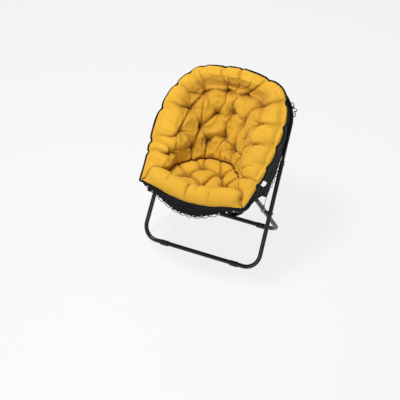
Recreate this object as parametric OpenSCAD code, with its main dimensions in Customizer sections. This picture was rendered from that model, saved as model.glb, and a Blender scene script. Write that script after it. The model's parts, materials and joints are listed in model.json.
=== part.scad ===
// Folding camping chair with a padded bucket seat.
// Two tubular U frames cross as an X and turn on one hinge line through the leg crossings.
// All tables are measured from the centre line of the front foot rail, and front_rail_y moves them
// to the row's origin: floor level, middle of the footprint, chair facing -Y.

/* [Frame] */
// Distance between the centre lines of the two front legs at the floor
front_width = 640; // [600:1:680]
// Sideways step from a front leg to the rear leg beside it
leg_step = 27; // [26:0.5:34]
// Distance between the centre lines of the two foot rails
rail_gap = 345; // [330:1:360]
// Lean of the front legs away from upright, in degrees
front_lean = 34.6; // [33:0.1:36]
// Lean of the rear legs away from upright, in degrees
rear_lean = 36.3; // [35:0.1:38]
// Outside diameter of the leg tubes
leg_d = 22; // [20:0.5:25]
// Outside diameter of the hoop tubes
hoop_d = 16; // [14:0.5:17]
// Wall thickness of every tube
tube_wall = 1.2; // [1:0.1:2]
// Bend radius of the foot rails, on the centre line
foot_bend = 75; // [60:1:90]
// Bend radius of the back hoop, on the centre line
hoop_bend = 190; // [150:1:195]

/* [Feet] */
// Length of each floor glide along its rail
glide_length = 44; // [30:1:60]
// Plastic thickness under the rail, which lifts the rail off the floor
glide_wall = 2; // [1.5:0.1:4]
// Distance of each front glide from the middle of its rail
front_glide_x = 195; // [150:1:230]
// Distance of each rear glide from the middle of its rail
rear_glide_x = 190; // [150:1:220]

/* [Pivot] */
// Diameter of the pivot bolts
bolt_d = 8; // [6:0.5:10]
// Radial clearance of the bolt in the rear leg
bolt_clearance = 0.05; // [0.02:0.01:0.1]

/* [Soft parts] */
// Thickness of the black cover fabric
cloth = 2; // [1.5:0.1:3]
// Distance between two eyelets on the front hem
eyelet_pitch = 37; // [30:1:45]
// Diameter of the elastic lacing
lace_d = 3; // [2:0.5:4]

/* [Hidden] */
front_rail_y = -194;
leg_r = leg_d / 2;
hoop_r = hoop_d / 2;
rail_z = leg_r + glide_wall;
rear_width = front_width - 2 * leg_step;
// Inward lean of the legs, in millimetres per millimetre of leg
taper = 0.0212;
front_leg_s = 562;
rear_leg_s = 486;
round_fn = 64;

// Point on a front leg or rear leg centre line, at length s above its rail
function front_pt(s, side = 1) = [side * (front_width / 2 - taper * s), s * sin(front_lean), rail_z + s * cos(front_lean)];
function rear_pt(s, side = 1) = [side * (rear_width / 2 - taper * s), rail_gap - s * sin(rear_lean), rail_z + s * cos(rear_lean)];
// The two leg lines cross here in the side view
pivot_s = rail_gap * cos(rear_lean) / sin(front_lean + rear_lean);
pivot_rear_s = rail_gap * cos(front_lean) / sin(front_lean + rear_lean);
pivot_y = pivot_s * sin(front_lean);
pivot_z = rail_z + pivot_s * cos(front_lean);
pivot_front_x = front_width / 2 - taper * pivot_s;
pivot_rear_x = rear_width / 2 - taper * pivot_rear_s;

// Tables of the padded bucket, right half, from the middle of the back (first) to the front corner (last)
seam_tab = [[0, 270, 398], [40, 267, 398], [90, 252, 398], [148, 214, 397], [200, 148, 397], [238, 68, 400], [256, 0, 414], [270, -70, 438]];
low_tab = [[0, 322, 490], [50, 318, 490], [98, 294, 488], [150, 245, 486], [188, 165, 474], [216, 86, 452], [246, 10, 444], [270, -74, 445]];
high_tab = [[0, 448, 700], [56, 444, 700], [142, 392, 696], [196, 302, 650], [204, 200, 588], [200, 98, 515], [236, 14, 472], [271, -77, 448]];
rim_tab = [[0, 496, 812], [95, 489, 810], [222, 452, 784], [302, 332, 716], [318, 200, 636], [300, 86, 540], [282, 2, 484], [276, -86, 450]];
// The outer side of the same pad
seam_out_tab = [[0, 322, 372], [40, 318, 372], [90, 300, 372], [160, 256, 376], [262, 156, 392], [262, 74, 410], [264, 4, 424], [274, -70, 434]];
low_out_tab = [[0, 386, 470], [50, 382, 470], [110, 356, 470], [200, 300, 476], [284, 176, 486], [270, 90, 452], [266, 14, 447], [276, -74, 441]];
high_out_tab = [[0, 505, 690], [56, 501, 690], [160, 460, 690], [262, 380, 650], [291, 215, 590], [288, 100, 500], [274, 12, 464], [277, -80, 444]];
rim_out_tab = [[0, 524, 782], [95, 518, 780], [236, 482, 752], [316, 356, 686], [328, 214, 618], [308, 96, 520], [286, 8, 470], [280, -86, 444]];
front_tab = [[0, -118, 406], [60, -116, 407], [120, -110, 411], [180, -102, 419], [230, -95, 430], [270, -87, 441]];
hem_tab = [[0, -143, 350], [60, -140, 354], [120, -129, 376], [180, -111, 398], [230, -97, 420], [268, -86, 438]];
// Side cover: upper edge under the rim, and lower edge, on the right
panel_top_tab = [[286, -86, 440], [292, 8, 466], [315, 98, 516], [335, 216, 612], [324, 348, 676], [309, 424, 700]];
panel_low_tab = [[287, -80, 434], [296, 28, 432], [296, 98, 405], [296, 152, 356], [296, 205, 424], [296, 250, 430], [295, 288, 458], [292, 316, 492], [288, 372, 590], [286, 432, 690]];

// Catmull-Rom value of a table at u from 0 to 1
function cr(a, b, c, d, t) = 0.5 * (2 * b + (c - a) * t + (2 * a - 5 * b + 4 * c - d) * t * t + (3 * b - a - 3 * c + d) * t * t * t);
function at(tab, u) = let (n = len(tab) - 1, s = min(max(u, 0), 1) * n, i = min(floor(s), n - 1))
  cr(tab[max(i - 1, 0)], tab[i], tab[i + 1], tab[min(i + 2, n)], s - i);
function lin(tab, u) = let (n = len(tab) - 1, s = min(max(u, 0), 1) * n, i = min(floor(s), n - 1)) tab[i] + (tab[i + 1] - tab[i]) * (s - i);
function flip(p, side) = [side * p[0], p[1], p[2]];
// Signed position around the bucket: -1 left corner, 0 middle of the back, 1 right corner
function wrap(tab, w) = flip(at(tab, abs(w)), w < 0 ? -1 : 1);
function flat(g) = [for (r = g) for (p = r) p];

// Closed solid between two equal grids of points
module slab(a, b) {
  n = len(a);
  m = len(a[0]);
  k = n * m;
  side_a = [for (i = [0:n - 2]) for (j = [0:m - 2]) each [[i * m + j, i * m + j + 1, (i + 1) * m + j + 1], [i * m + j, (i + 1) * m + j + 1, (i + 1) * m + j]]];
  side_b = [for (f = side_a) [f[2] + k, f[1] + k, f[0] + k]];
  wall = concat(
    [for (i = [0:n - 2]) each [[i * m, (i + 1) * m, (i + 1) * m + k], [i * m, (i + 1) * m + k, i * m + k]]],
    [for (i = [0:n - 2]) let (p = i * m + m - 1) each [[p + m, p, p + k], [p + m, p + k, p + m + k]]],
    [for (j = [0:m - 2]) each [[j + 1, j, j + k], [j + 1, j + k, j + 1 + k]]],
    [for (j = [0:m - 2]) let (p = (n - 1) * m + j) each [[p, p + 1, p + 1 + k], [p, p + 1 + k, p + k]]]);
  polyhedron(points = concat(flat(a), flat(b)), faces = concat(side_a, side_b, wall), convexity = 8);
}

// Straight rod between two points
module rod(p, q, r, fn = 16) {
  d = q - p;
  l = norm(d);
  translate(p) rotate([0, acos(d[2] / l), atan2(d[1], d[0])]) cylinder(h = l, r = r, $fn = fn);
}

// Tube swept along a route of points, as one closed mesh
function unit(v) = v / norm(v);
function tangent(p, i) = unit(p[min(i + 1, len(p) - 1)] - p[max(i - 1, 0)]);
module swept(p, r, sides = 8) {
  n = len(p);
  rings = [for (i = [0:n - 1]) let (t = tangent(p, i), h = abs(t[2]) > 0.95 ? [0, 1, 0] : [0, 0, 1], u = unit(cross(h, t)), v = cross(t, u))
    each [for (k = [0:sides - 1]) p[i] + r * (cos(360 * k / sides) * u + sin(360 * k / sides) * v)]];
  body = [for (i = [0:n - 2]) for (k = [0:sides - 1]) let (a = i * sides + k, b = i * sides + (k + 1) % sides) each [[a, a + sides, b + sides], [a, b + sides, b]]];
  caps = [[for (k = [0:sides - 1]) k], [for (k = [sides - 1:-1:0]) (n - 1) * sides + k]];
  polyhedron(points = rings, faces = concat(body, caps), convexity = 6);
}

// Each straight run laps the bends beside it by lap, and is larger than them by lip
lap = 0.8;
lip = 0.03;
// Bent solid rod in the XY plane through corner points, each with its own bend radius; more lengthens both ends
module bent(pts, bends, r, more = 0) {
  n = len(pts);
  dirs = [for (i = [0:n - 2]) unit(pts[i + 1] - pts[i])];
  turn = [for (i = [1:n - 2]) let (a = dirs[i - 1], b = dirs[i]) atan2(a[0] * b[1] - a[1] * b[0], a * b)];
  cut = [for (i = [1:n - 2]) bends[i - 1] * tan(abs(turn[i - 1]) / 2)];
  for (i = [0:n - 2]) {
    p = pts[i] + (i == 0 ? -more : cut[i - 1] - lap) * dirs[i];
    q = pts[i + 1] - (i == n - 2 ? -more : cut[i] - lap) * dirs[i];
    translate([p[0], p[1], 0]) rotate([0, 0, atan2(dirs[i][1], dirs[i][0])]) rotate([0, 90, 0]) cylinder(h = norm(q - p), r = r + lip, $fn = 40);
  }
  for (i = [0:n - 3]) {
    s = turn[i] > 0 ? 1 : -1;
    a = dirs[i];
    p = pts[i + 1] - cut[i] * a;
    c = p + bends[i] * s * [-a[1], a[0]];
    st = atan2(p[1] - c[1], p[0] - c[0]);
    translate([c[0], c[1], 0]) rotate([0, 0, s > 0 ? st : st + turn[i]])
      rotate_extrude(angle = abs(turn[i]), $fn = 96) translate([bends[i], 0]) circle(r = r, $fn = 40);
  }
}
module bent_tube(pts, bends, ro, ri) {
  difference() {
    bent(pts, bends, ro);
    bent(pts, bends, ri, 1);
  }
}

module place() { translate([0, front_rail_y, 0]) children(); }
module front_plane() { translate([0, 0, rail_z]) rotate([90 - front_lean, 0, 0]) children(); }
module rear_plane() { translate([0, rail_gap, rail_z]) rotate([90 + rear_lean, 0, 0]) children(); }
// A cylinder along X through a point
module along_x(p, x0, x1, r, fn = 40) { translate([min(x0, x1), p[1], p[2]]) rotate([0, 90, 0]) cylinder(h = abs(x1 - x0), r = r, $fn = fn); }

// Screw positions just below the leg mouths
front_screw_s = front_leg_s - 16;
rear_screw_s = rear_leg_s - 16;
screw_r = 2.5;

module front_leg_frame() color([0.19, 0.19, 0.2]) place() difference() {
  front_plane() bent_tube([[-front_width / 2 + taper * front_leg_s, front_leg_s], [-front_width / 2, 0], [front_width / 2, 0], [front_width / 2 - taper * front_leg_s, front_leg_s]],
    [foot_bend, foot_bend], leg_r, leg_r - tube_wall);
  for (s = [-1, 1]) {
    along_x([0, pivot_y, pivot_z], s * (pivot_front_x - 20), s * (pivot_front_x + 20), bolt_d / 2 + 0.02);
    along_x(front_pt(front_screw_s), s * (front_pt(front_screw_s)[0] - 2), s * (front_pt(front_screw_s)[0] + 20), screw_r + 0.02);
  }
}

module rear_leg_frame() color([0.19, 0.19, 0.2]) place() difference() {
  rear_plane() bent_tube([[-rear_width / 2 + taper * rear_leg_s, rear_leg_s], [-rear_width / 2, 0], [rear_width / 2, 0], [rear_width / 2 - taper * rear_leg_s, rear_leg_s]],
    [foot_bend, foot_bend], leg_r, leg_r - tube_wall);
  for (s = [-1, 1]) {
    along_x([0, pivot_y, pivot_z], s * (pivot_rear_x - 20), s * (pivot_rear_x + 20), bolt_d / 2 + bolt_clearance);
    along_x(rear_pt(rear_screw_s), s * (rear_pt(rear_screw_s)[0] - 2), s * (rear_pt(rear_screw_s)[0] + 20), screw_r + 0.02);
  }
}

// Back hoop: in the plane of the front legs
function leg_x(s) = front_width / 2 - taper * s;
back_top_s = 928;
hoop_low_s = front_leg_s - 42;
hoop_side_s = back_top_s - 10;
module back_hoop() color([0.17, 0.17, 0.18]) place() difference() {
  front_plane() bent_tube([[-leg_x(hoop_low_s), hoop_low_s], [-leg_x(hoop_side_s), hoop_side_s], [-85, back_top_s], [85, back_top_s], [leg_x(hoop_side_s), hoop_side_s], [leg_x(hoop_low_s), hoop_low_s]],
    [hoop_bend, 900, 900, hoop_bend], hoop_r, hoop_r - tube_wall);
  for (s = [-1, 1]) along_x(front_pt(front_screw_s), s * leg_x(front_screw_s), s * (leg_x(front_screw_s) + 20), screw_r + 0.02);
}

// Seat hoop: in line with the rear legs, then bent forward and down to the front bar
seat_x = rear_width / 2 - taper * rear_leg_s;
seat_bend = 45;
seat_tilt = 11.3;
seat_run_s = rear_leg_s + 14;
seat_turn = 90 - rear_lean + seat_tilt;
bend_start = [0, rail_gap - seat_run_s * sin(rear_lean), rail_z + seat_run_s * cos(rear_lean)];
bend_end = bend_start + [0, -seat_bend * (cos(rear_lean) + sin(seat_tilt)), seat_bend * (cos(seat_tilt) - sin(rear_lean))];
module seat_rod(r, more = 0) {
  for (s = [-1, 1]) translate([s * seat_x, bend_start[1], bend_start[2]]) rotate([rear_lean, 0, 0]) {
    translate([0, 0, -56 - more]) cylinder(h = 56 + more + lap, r = r + lip, $fn = 40);
    translate([0, -seat_bend, 0]) rotate([0, -90, 0]) rotate([0, 0, 90 - seat_turn])
      rotate_extrude(angle = seat_turn, $fn = 96) translate([seat_bend, 0]) circle(r = r, $fn = 40);
  }
  translate([0, bend_end[1], bend_end[2]]) rotate([180 + seat_tilt, 0, 0])
    bent([[-seat_x, 0], [-seat_x, 84], [-120, 108], [120, 108], [seat_x, 84], [seat_x, 0]], [56, 500, 500, 56], r, lap);
}
module seat_hoop() color([0.17, 0.17, 0.18]) place() difference() {
  seat_rod(hoop_r);
  seat_rod(hoop_r - tube_wall, 1);
  for (s = [-1, 1]) along_x(rear_pt(rear_screw_s), s * seat_x, s * (seat_x + 20), screw_r + 0.02);
}

// Plastic reducer in the mouth of each leg
module bush(r_hoop) {
  difference() {
    union() {
      translate([0, 0, -24]) cylinder(h = 24, r = leg_r - tube_wall - 0.05, $fn = 40);
      cylinder(h = 2.5, r = leg_r, $fn = 40);
    }
    translate([0, 0, -25]) cylinder(h = 30, r = r_hoop, $fn = 40);
    // The screw passes through the bush
    translate([0, 0, -16]) rotate([0, 90, 0]) translate([0, 0, -20]) cylinder(h = 40, r = screw_r + 1, $fn = 24);
  }
}
module front_bush(s) {
  place() front_plane() translate([s * leg_x(front_leg_s), front_leg_s, 0]) rotate([0, 0, s * atan(taper)]) rotate([-90, 0, 0]) bush(hoop_r + 0.3);
}
module back_bush_right() color([0.08, 0.08, 0.08]) front_bush(1);
module back_bush_left() color([0.08, 0.08, 0.08]) front_bush(-1);
module seat_bush(s) {
  place() rear_plane() translate([s * seat_x, rear_leg_s, 0]) rotate([0, 0, s * atan(taper)]) rotate([-90, 0, 0]) bush(hoop_r + 0.65);
}
module seat_bush_right() color([0.08, 0.08, 0.08]) seat_bush(1);
module seat_bush_left() color([0.08, 0.08, 0.08]) seat_bush(-1);

// Dome-headed screws that hold the hoops in the legs, on the outer side
module dome_screw(p, x_leg, s, x_in) {
  l = x_leg + leg_r + 0.18 - x_in;
  translate([s * x_in, p[1], p[2]]) rotate([0, s * 90, 0]) rotate_extrude($fn = 40)
    polygon([[0, 0], [screw_r, 0], [screw_r, l], [6, l], [5.4, l + 1.1], [4, l + 2], [2, l + 2.4], [0, l + 2.4]]);
}
module back_hoop_screws() color([0.5, 0.5, 0.52]) place() for (s = [-1, 1]) dome_screw(front_pt(front_screw_s), front_pt(front_screw_s)[0], s, leg_x(front_screw_s) + 2);
module seat_hoop_screws() color([0.5, 0.5, 0.52]) place() for (s = [-1, 1]) dome_screw(rear_pt(rear_screw_s), rear_pt(rear_screw_s)[0], s, seat_x + 2);

// Floor glides: a sleeve around the rail with a flat sole
module glide(x, y) {
  place() translate([x, y, rail_z]) difference() {
    union() {
      rotate([0, 90, 0]) translate([0, 0, -glide_length / 2]) cylinder(h = glide_length, r = leg_r + glide_wall, $fn = 48);
      translate([-glide_length / 2, -8, -rail_z]) cube([glide_length, 16, 8]);
    }
    rotate([0, 90, 0]) translate([0, 0, -glide_length / 2 - 1]) cylinder(h = glide_length + 2, r = leg_r + lip + 0.02, $fn = 48);
    // Slot on top, where the sleeve is sprung over the tube
    translate([-glide_length / 2 - 1, -1.5, 4]) cube([glide_length + 2, 3, 20]);
    // Chamfered ends
    for (s = [-1, 1]) translate([s * (glide_length / 2), 0, -rail_z]) rotate([0, 45, 0]) cube([2, 40, 2], center = true);
  }
}
module front_glide_right() color([0.06, 0.06, 0.06]) glide(front_glide_x, 0);
module front_glide_left() color([0.06, 0.06, 0.06]) glide(-front_glide_x, 0);
module rear_glide_right() color([0.06, 0.06, 0.06]) glide(rear_glide_x, rail_gap);
module rear_glide_left() color([0.06, 0.06, 0.06]) glide(-rear_glide_x, rail_gap);

// Pivot: bolt head outside the front leg, spacer between the legs, cap nut inside the rear leg
bolt_out = pivot_front_x + leg_r;
bolt_in = pivot_rear_x - leg_r;
module pivot_bolt(s) {
  place() {
    l = bolt_out + 0.25 - (bolt_in - 6);
    translate([s * (bolt_in - 6), pivot_y, pivot_z]) rotate([0, s * 90, 0]) rotate_extrude($fn = 48)
      polygon([[0, 0], [bolt_d / 2, 0], [bolt_d / 2, l], [8.2, l], [7.6, l + 1.6], [6.2, l + 3], [3.4, l + 4.2], [0, l + 4.4]]);
  }
}
module pivot_bolt_right() color([0.3, 0.3, 0.32]) pivot_bolt(1);
module pivot_bolt_left() color([0.3, 0.3, 0.32]) pivot_bolt(-1);
module pivot_spacer(s) {
  place() translate([s * (pivot_rear_x + leg_r + 0.3), pivot_y, pivot_z]) rotate([0, s * 90, 0]) difference() {
    cylinder(h = pivot_front_x - pivot_rear_x - 2 * leg_r - 0.6, r = 9, $fn = 48);
    translate([0, 0, -1]) cylinder(h = 20, r = bolt_d / 2 + 0.02, $fn = 40);
  }
}
module pivot_spacer_right() color([0.08, 0.08, 0.08]) pivot_spacer(1);
module pivot_spacer_left() color([0.08, 0.08, 0.08]) pivot_spacer(-1);
module pivot_nut(s) {
  place() translate([s * (bolt_in - 0.3), pivot_y, pivot_z]) rotate([0, -s * 90, 0]) difference() {
    union() {
      cylinder(h = 6.5, r = 7.4, $fn = 6);
      translate([0, 0, 6.4]) rotate_extrude($fn = 40) polygon([[0, -0.2], [6.2, -0.2], [6.1, 1.6], [5.2, 3.6], [3.4, 5.2], [0, 6.2]]);
    }
    translate([0, 0, -1]) cylinder(h = 7.2, r = bolt_d / 2 + 0.02, $fn = 40);
  }
}
module pivot_nut_right() color([0.3, 0.3, 0.32]) pivot_nut(1);
module pivot_nut_left() color([0.3, 0.3, 0.32]) pivot_nut(-1);

// Padded back: an inner and an outer surface, from w0 to w1 around the bucket
function pad_in(w, v) = at([wrap(seam_tab, w), wrap(low_tab, w), wrap(high_tab, w), wrap(rim_tab, w)], v);
function pad_out(w, v) = at([wrap(seam_out_tab, w), wrap(low_out_tab, w), wrap(high_out_tab, w), wrap(rim_out_tab, w)], v);
module pad(w0, w1, n, m) {
  slab([for (i = [0:n]) [for (j = [0:m]) pad_in(w0 + (w1 - w0) * i / n, j / m)]],
       [for (i = [0:n]) [for (j = [0:m]) pad_out(w0 + (w1 - w0) * i / n, j / m)]]);
}
wing_at = 2.0 / 7;
module back_cushion() color([0.86, 0.62, 0.16]) place() pad(wing_at - 0.004, -wing_at + 0.004, 18, 9);
module side_wing_right() color([0.86, 0.62, 0.16]) place() pad(1, wing_at + 0.004, 16, 8);
module side_wing_left() color([0.86, 0.62, 0.16]) place() pad(-wing_at - 0.004, -1, 16, 8);

// Black back cover, a sheet behind the padded back, wider towards the top
function cover_w(v) = wing_at * 0.97 + 0.13 * v;
function behind(w, v, d) = let (p = pad_out(w, v), e = 0.01, a = pad_out(w + e, v) - pad_out(w - e, v), b = pad_out(w, min(v + e, 1)) - pad_out(w, max(v - e, 0))) p + d * unit(cross(b, a));
module back_cover() color([0.05, 0.05, 0.055]) place() slab(
  [for (i = [0:20]) [for (j = [0:8]) behind(cover_w(j / 8) * (1 - i / 10), j / 8 * 0.97, 0.6)]],
  [for (i = [0:20]) [for (j = [0:8]) behind(cover_w(j / 8) * (1 - i / 10), j / 8 * 0.97, 0.6 + cloth)]]);

// Seat pad, D shaped, from the front roll to the seam
seat_rows = [[-117, 256, 399, 408], [-104, 264, 397, 438], [-72, 262, 388, 442], [-24, 256, 372, 419], [30, 244, 356, 404], [80, 230, 348, 402], [130, 206, 346, 402], [175, 172, 348, 402], [215, 132, 352, 400], [246, 74, 358, 396]];
// The front edge is bowed, and rises towards the corners
function bow(u, q) = 26 * q * q * max(0, 1 - 2.5 * u);
function lift(u, q) = pow(abs(q), 2.4) * max(0, 34 - 80 * u);
function seat_top(u, q) = let (r = at(seat_rows, u)) [q * r[1], r[0] + bow(u, q), r[3] - pow(abs(q), 3) * 0.35 * (r[3] - r[2]) + lift(u, q)];
function seat_low(u, q) = let (r = at(seat_rows, u)) [q * r[1], r[0] + bow(u, q), r[2] + pow(abs(q), 4) * 0.25 * (r[3] - r[2]) + lift(u, q)];
module seat_cushion() color([0.86, 0.62, 0.16]) place() slab(
  [for (i = [0:18]) [for (j = [0:16]) seat_top(i / 18, 1 - j / 8)]],
  [for (i = [0:18]) [for (j = [0:16]) seat_low(i / 18, 1 - j / 8)]]);

// Black sheet under the seat pad
sling_rows = [[-88, 240, 384], [-60, 252, 378], [-20, 250, 362], [30, 240, 348], [80, 226, 342], [130, 204, 340], [175, 170, 342], [215, 130, 346], [244, 76, 352]];
function sling(u, q, d) = let (r = at(sling_rows, u)) [q * r[1], r[0], r[2] - d + 10 * pow(abs(q), 4)];
module seat_sling() color([0.05, 0.05, 0.055]) place() slab(
  [for (i = [0:14]) [for (j = [0:12]) sling(i / 14, 1 - j / 6, 4)]],
  [for (i = [0:14]) [for (j = [0:12]) sling(i / 14, 1 - j / 6, 4 + cloth)]]);

// Black band below the front roll
function skirt(q, v, d) = let (a = wrap(front_tab, q), b = wrap(hem_tab, q)) a + (b - a) * v + [0, d - 5 - 6 * sin(180 * v), 0];
module front_skirt() color([0.05, 0.05, 0.055]) place() slab(
  [for (i = [0:28]) [for (j = [0:4]) skirt(1 - i / 14, j / 4, 0)]],
  [for (i = [0:28]) [for (j = [0:4]) skirt(1 - i / 14, j / 4, cloth)]]);

// Black side covers, from the rim down to the laced lower edge
function panel(q, v, d, s) = let (a = at(panel_top_tab, q), b = lin(panel_low_tab, q)) flip(a + (b - a) * v + [d, 0, 0], s);
module side_cover(s) {
  a = [for (i = [0:27]) [for (j = [0:5]) panel(i / 27, j / 5, cloth, s)]];
  b = [for (i = [0:27]) [for (j = [0:5]) panel(i / 27, j / 5, 0, s)]];
  if (s > 0) slab(a, b); else slab(b, a);
}
module side_cover_right() color([0.05, 0.05, 0.055]) place() side_cover(1);
module side_cover_left() color([0.05, 0.05, 0.055]) place() side_cover(-1);

// Eyelets: thin rings set into the cloth
module eyelet(p, turn, r = 5) {
  translate(p) rotate(turn) rotate_extrude($fn = 32) polygon([[r - 2.1, -1.3], [r - 0.6, -1.3], [r, -0.6], [r, 0.6], [r - 0.6, 1.3], [r - 2.1, 1.3]]);
}
front_eyelet_n = 6;
function front_eyelet(i) = skirt(i * eyelet_pitch / 272, 0.9, -1);
module front_eyelets() color([0.6, 0.6, 0.62]) place() for (i = [-front_eyelet_n:front_eyelet_n]) eyelet(front_eyelet(i), [74, 0, 0]);
side_eyelet_u = [0.42, 0.46, 0.53, 0.60, 0.665, 0.72];
function side_eyelet(i, s) = panel(side_eyelet_u[i], 0.93, 1, s);
module side_eyelets() color([0.6, 0.6, 0.62]) place() for (s = [-1, 1]) for (i = [0:5]) eyelet(side_eyelet(i, s), [0, 90, 0]);

// Elastic lacing
function front_lace(i) = i % 2 == 0 ? front_eyelet(i / 2) : front_eyelet((i - 1) / 2) * 0.5 + front_eyelet((i + 1) / 2) * 0.5 + [0, 6, -11];
module front_lacing() color([0.06, 0.06, 0.06]) place() for (i = [-2 * front_eyelet_n:2 * front_eyelet_n - 1]) rod(front_lace(i), front_lace(i + 1), lace_d / 2, 12);
module side_lacing() color([0.06, 0.06, 0.06]) place() for (s = [-1, 1]) for (i = [0:4]) {
  m = side_eyelet(i, s) * 0.5 + side_eyelet(i + 1, s) * 0.5 + [0, 7, -10];
  rod(side_eyelet(i, s), m, lace_d / 2, 12);
  rod(m, side_eyelet(i + 1, s), lace_d / 2, 12);
}
// Strap from the lower corner of each side cover to a clip on the rear leg
clip_s = pivot_rear_s + 46;
clip_eye = leg_r + 4.6;
module leg_clip(s) {
  place() rear_plane() translate([s * (rear_width / 2 - taper * clip_s), clip_s, 0]) rotate([0, 0, s * atan(taper)]) rotate([-90, 0, 0]) difference() {
    union() {
      cylinder(h = 9, r = leg_r + 1.6, $fn = 40);
      translate([-4, leg_r - 1, 0]) cube([8, 9, 9]);
    }
    translate([0, 0, -1]) cylinder(h = 11, r = leg_r + lip + 0.02, $fn = 40);
    translate([-5, clip_eye, 4.5]) rotate([0, 90, 0]) cylinder(h = 10, r = 1.9, $fn = 24);
  }
}
module leg_clip_right() color([0.55, 0.55, 0.57]) leg_clip(1);
module leg_clip_left() color([0.55, 0.55, 0.57]) leg_clip(-1);

function clip_hole(side) = rear_pt(clip_s + 4.5, side) + clip_eye * [0, cos(rear_lean), sin(rear_lean)];
module corner_strap(s) {
  e = clip_hole(s);
  rod([s * 295, 152, 353.5], e + [s * 1.5, 0, 1], lace_d / 2, 12);
  rod(e - [6, 0, 0], e + [6, 0, 0], lace_d / 2, 12);
}
module corner_strap_right() color([0.06, 0.06, 0.06]) place() corner_strap(1);
module corner_strap_left() color([0.06, 0.06, 0.06]) place() corner_strap(-1);

// Cord loops that tie the top of the back cover to the back hoop
module back_lacing() color([0.06, 0.06, 0.06]) place() front_plane() for (x = [-105:30:105])
  translate([x, abs(x) < 85 ? back_top_s : back_top_s - 10 * (abs(x) - 85) / 215.5, 0]) rotate([0, 90, 0])
    rotate_extrude($fn = 32) translate([hoop_r + 2, 0]) circle(r = lace_d / 2, $fn = 12);

// Thin piping along the outer edge of the rim
function piping(w) = pad_out(w, 1) + [0, 1, -1] + 1.5 * [w < 0 ? -1 : 1, 0, 0] * min(1, 4 * abs(w));
module rim_piping() color([0.06, 0.06, 0.06]) place() swept([for (i = [0:72]) piping(-0.985 + 1.97 * i / 72)], 2.2, 8);

// Free cord ends
right_tie = [[293, 471, 693], [288, 467, 706], [285, 463, 721], [289, 461, 734], [297, 460, 733], [299, 461, 720], [297, 464, 708], [302, 464, 701], [310, 462, 702], [318, 461, 695], [311, 461, 687], [303, 463, 684], [308, 461, 676], [312, 460, 665], [306, 459, 656], [299, 461, 660], [297, 465, 672]];
left_tie = [[-300, 60, 396], [-306, 58, 386], [-310, 58, 372], [-311, 60, 356], [-308, 62, 344], [-302, 62, 340], [-299, 60, 350], [-301, 58, 364], [-302, 57, 380], [-298, 57, 392]];
function smooth(tab, n) = [for (i = [0:n]) at(tab, i / n)];
module right_tie_cord() color([0.06, 0.06, 0.06]) place() swept(smooth(right_tie, 60), lace_d / 2);
module left_tie_cord() color([0.06, 0.06, 0.06]) place() swept(smooth(left_tie, 44), lace_d / 2);

// Blank white cloth tab at the right edge
module blank_tab() color([0.9, 0.9, 0.88]) place() translate([306.5, 44, 494]) rotate([0, 0, -60]) cube([1.2, 22, 24]);

front_leg_frame();
back_hoop();
back_bush_right();
back_bush_left();
back_hoop_screws();
front_glide_right();
front_glide_left();
pivot_bolt_right();
pivot_bolt_left();
pivot_spacer_right();
pivot_spacer_left();
pivot_nut_right();
pivot_nut_left();
back_cushion();
back_cover();
side_wing_right();
side_wing_left();
side_cover_right();
side_cover_left();
side_eyelets();
side_lacing();
back_lacing();
rim_piping();
right_tie_cord();
left_tie_cord();
blank_tab();
rear_leg_frame();
seat_hoop();
seat_bush_right();
seat_bush_left();
seat_hoop_screws();
rear_glide_right();
rear_glide_left();
leg_clip_right();
leg_clip_left();
corner_strap_right();
corner_strap_left();
seat_cushion();
seat_sling();
front_skirt();
front_eyelets();
front_lacing();
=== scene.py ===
import json
import math

import bpy
import numpy as np
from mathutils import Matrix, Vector
from mathutils.kdtree import KDTree


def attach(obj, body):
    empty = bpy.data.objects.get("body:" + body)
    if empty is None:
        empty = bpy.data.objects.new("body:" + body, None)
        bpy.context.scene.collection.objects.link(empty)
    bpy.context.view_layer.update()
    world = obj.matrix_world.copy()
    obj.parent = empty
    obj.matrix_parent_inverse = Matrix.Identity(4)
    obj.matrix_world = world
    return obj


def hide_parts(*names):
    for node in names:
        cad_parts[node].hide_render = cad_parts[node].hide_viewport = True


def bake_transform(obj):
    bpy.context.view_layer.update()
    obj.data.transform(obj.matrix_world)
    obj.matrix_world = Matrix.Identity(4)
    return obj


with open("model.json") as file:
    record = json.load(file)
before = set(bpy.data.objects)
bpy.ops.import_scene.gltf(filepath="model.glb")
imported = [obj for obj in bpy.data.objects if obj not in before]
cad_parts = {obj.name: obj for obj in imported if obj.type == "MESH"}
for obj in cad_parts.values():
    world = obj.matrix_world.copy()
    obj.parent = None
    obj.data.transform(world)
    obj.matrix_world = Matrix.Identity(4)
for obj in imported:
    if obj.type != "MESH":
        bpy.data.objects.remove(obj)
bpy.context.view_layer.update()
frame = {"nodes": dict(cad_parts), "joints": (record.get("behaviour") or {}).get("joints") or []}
A, B = "front_frame_and_back", "rear_frame_and_seat"
OY = -194.0  # the front rail's place on the Y axis, in mm
PIVOT = frame["joints"][0]["pos_m"]
rng = np.random.RandomState(7)


def metres(p):
    return (np.asarray(p, float) + np.array([0, OY, 0])) * 0.001


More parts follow.
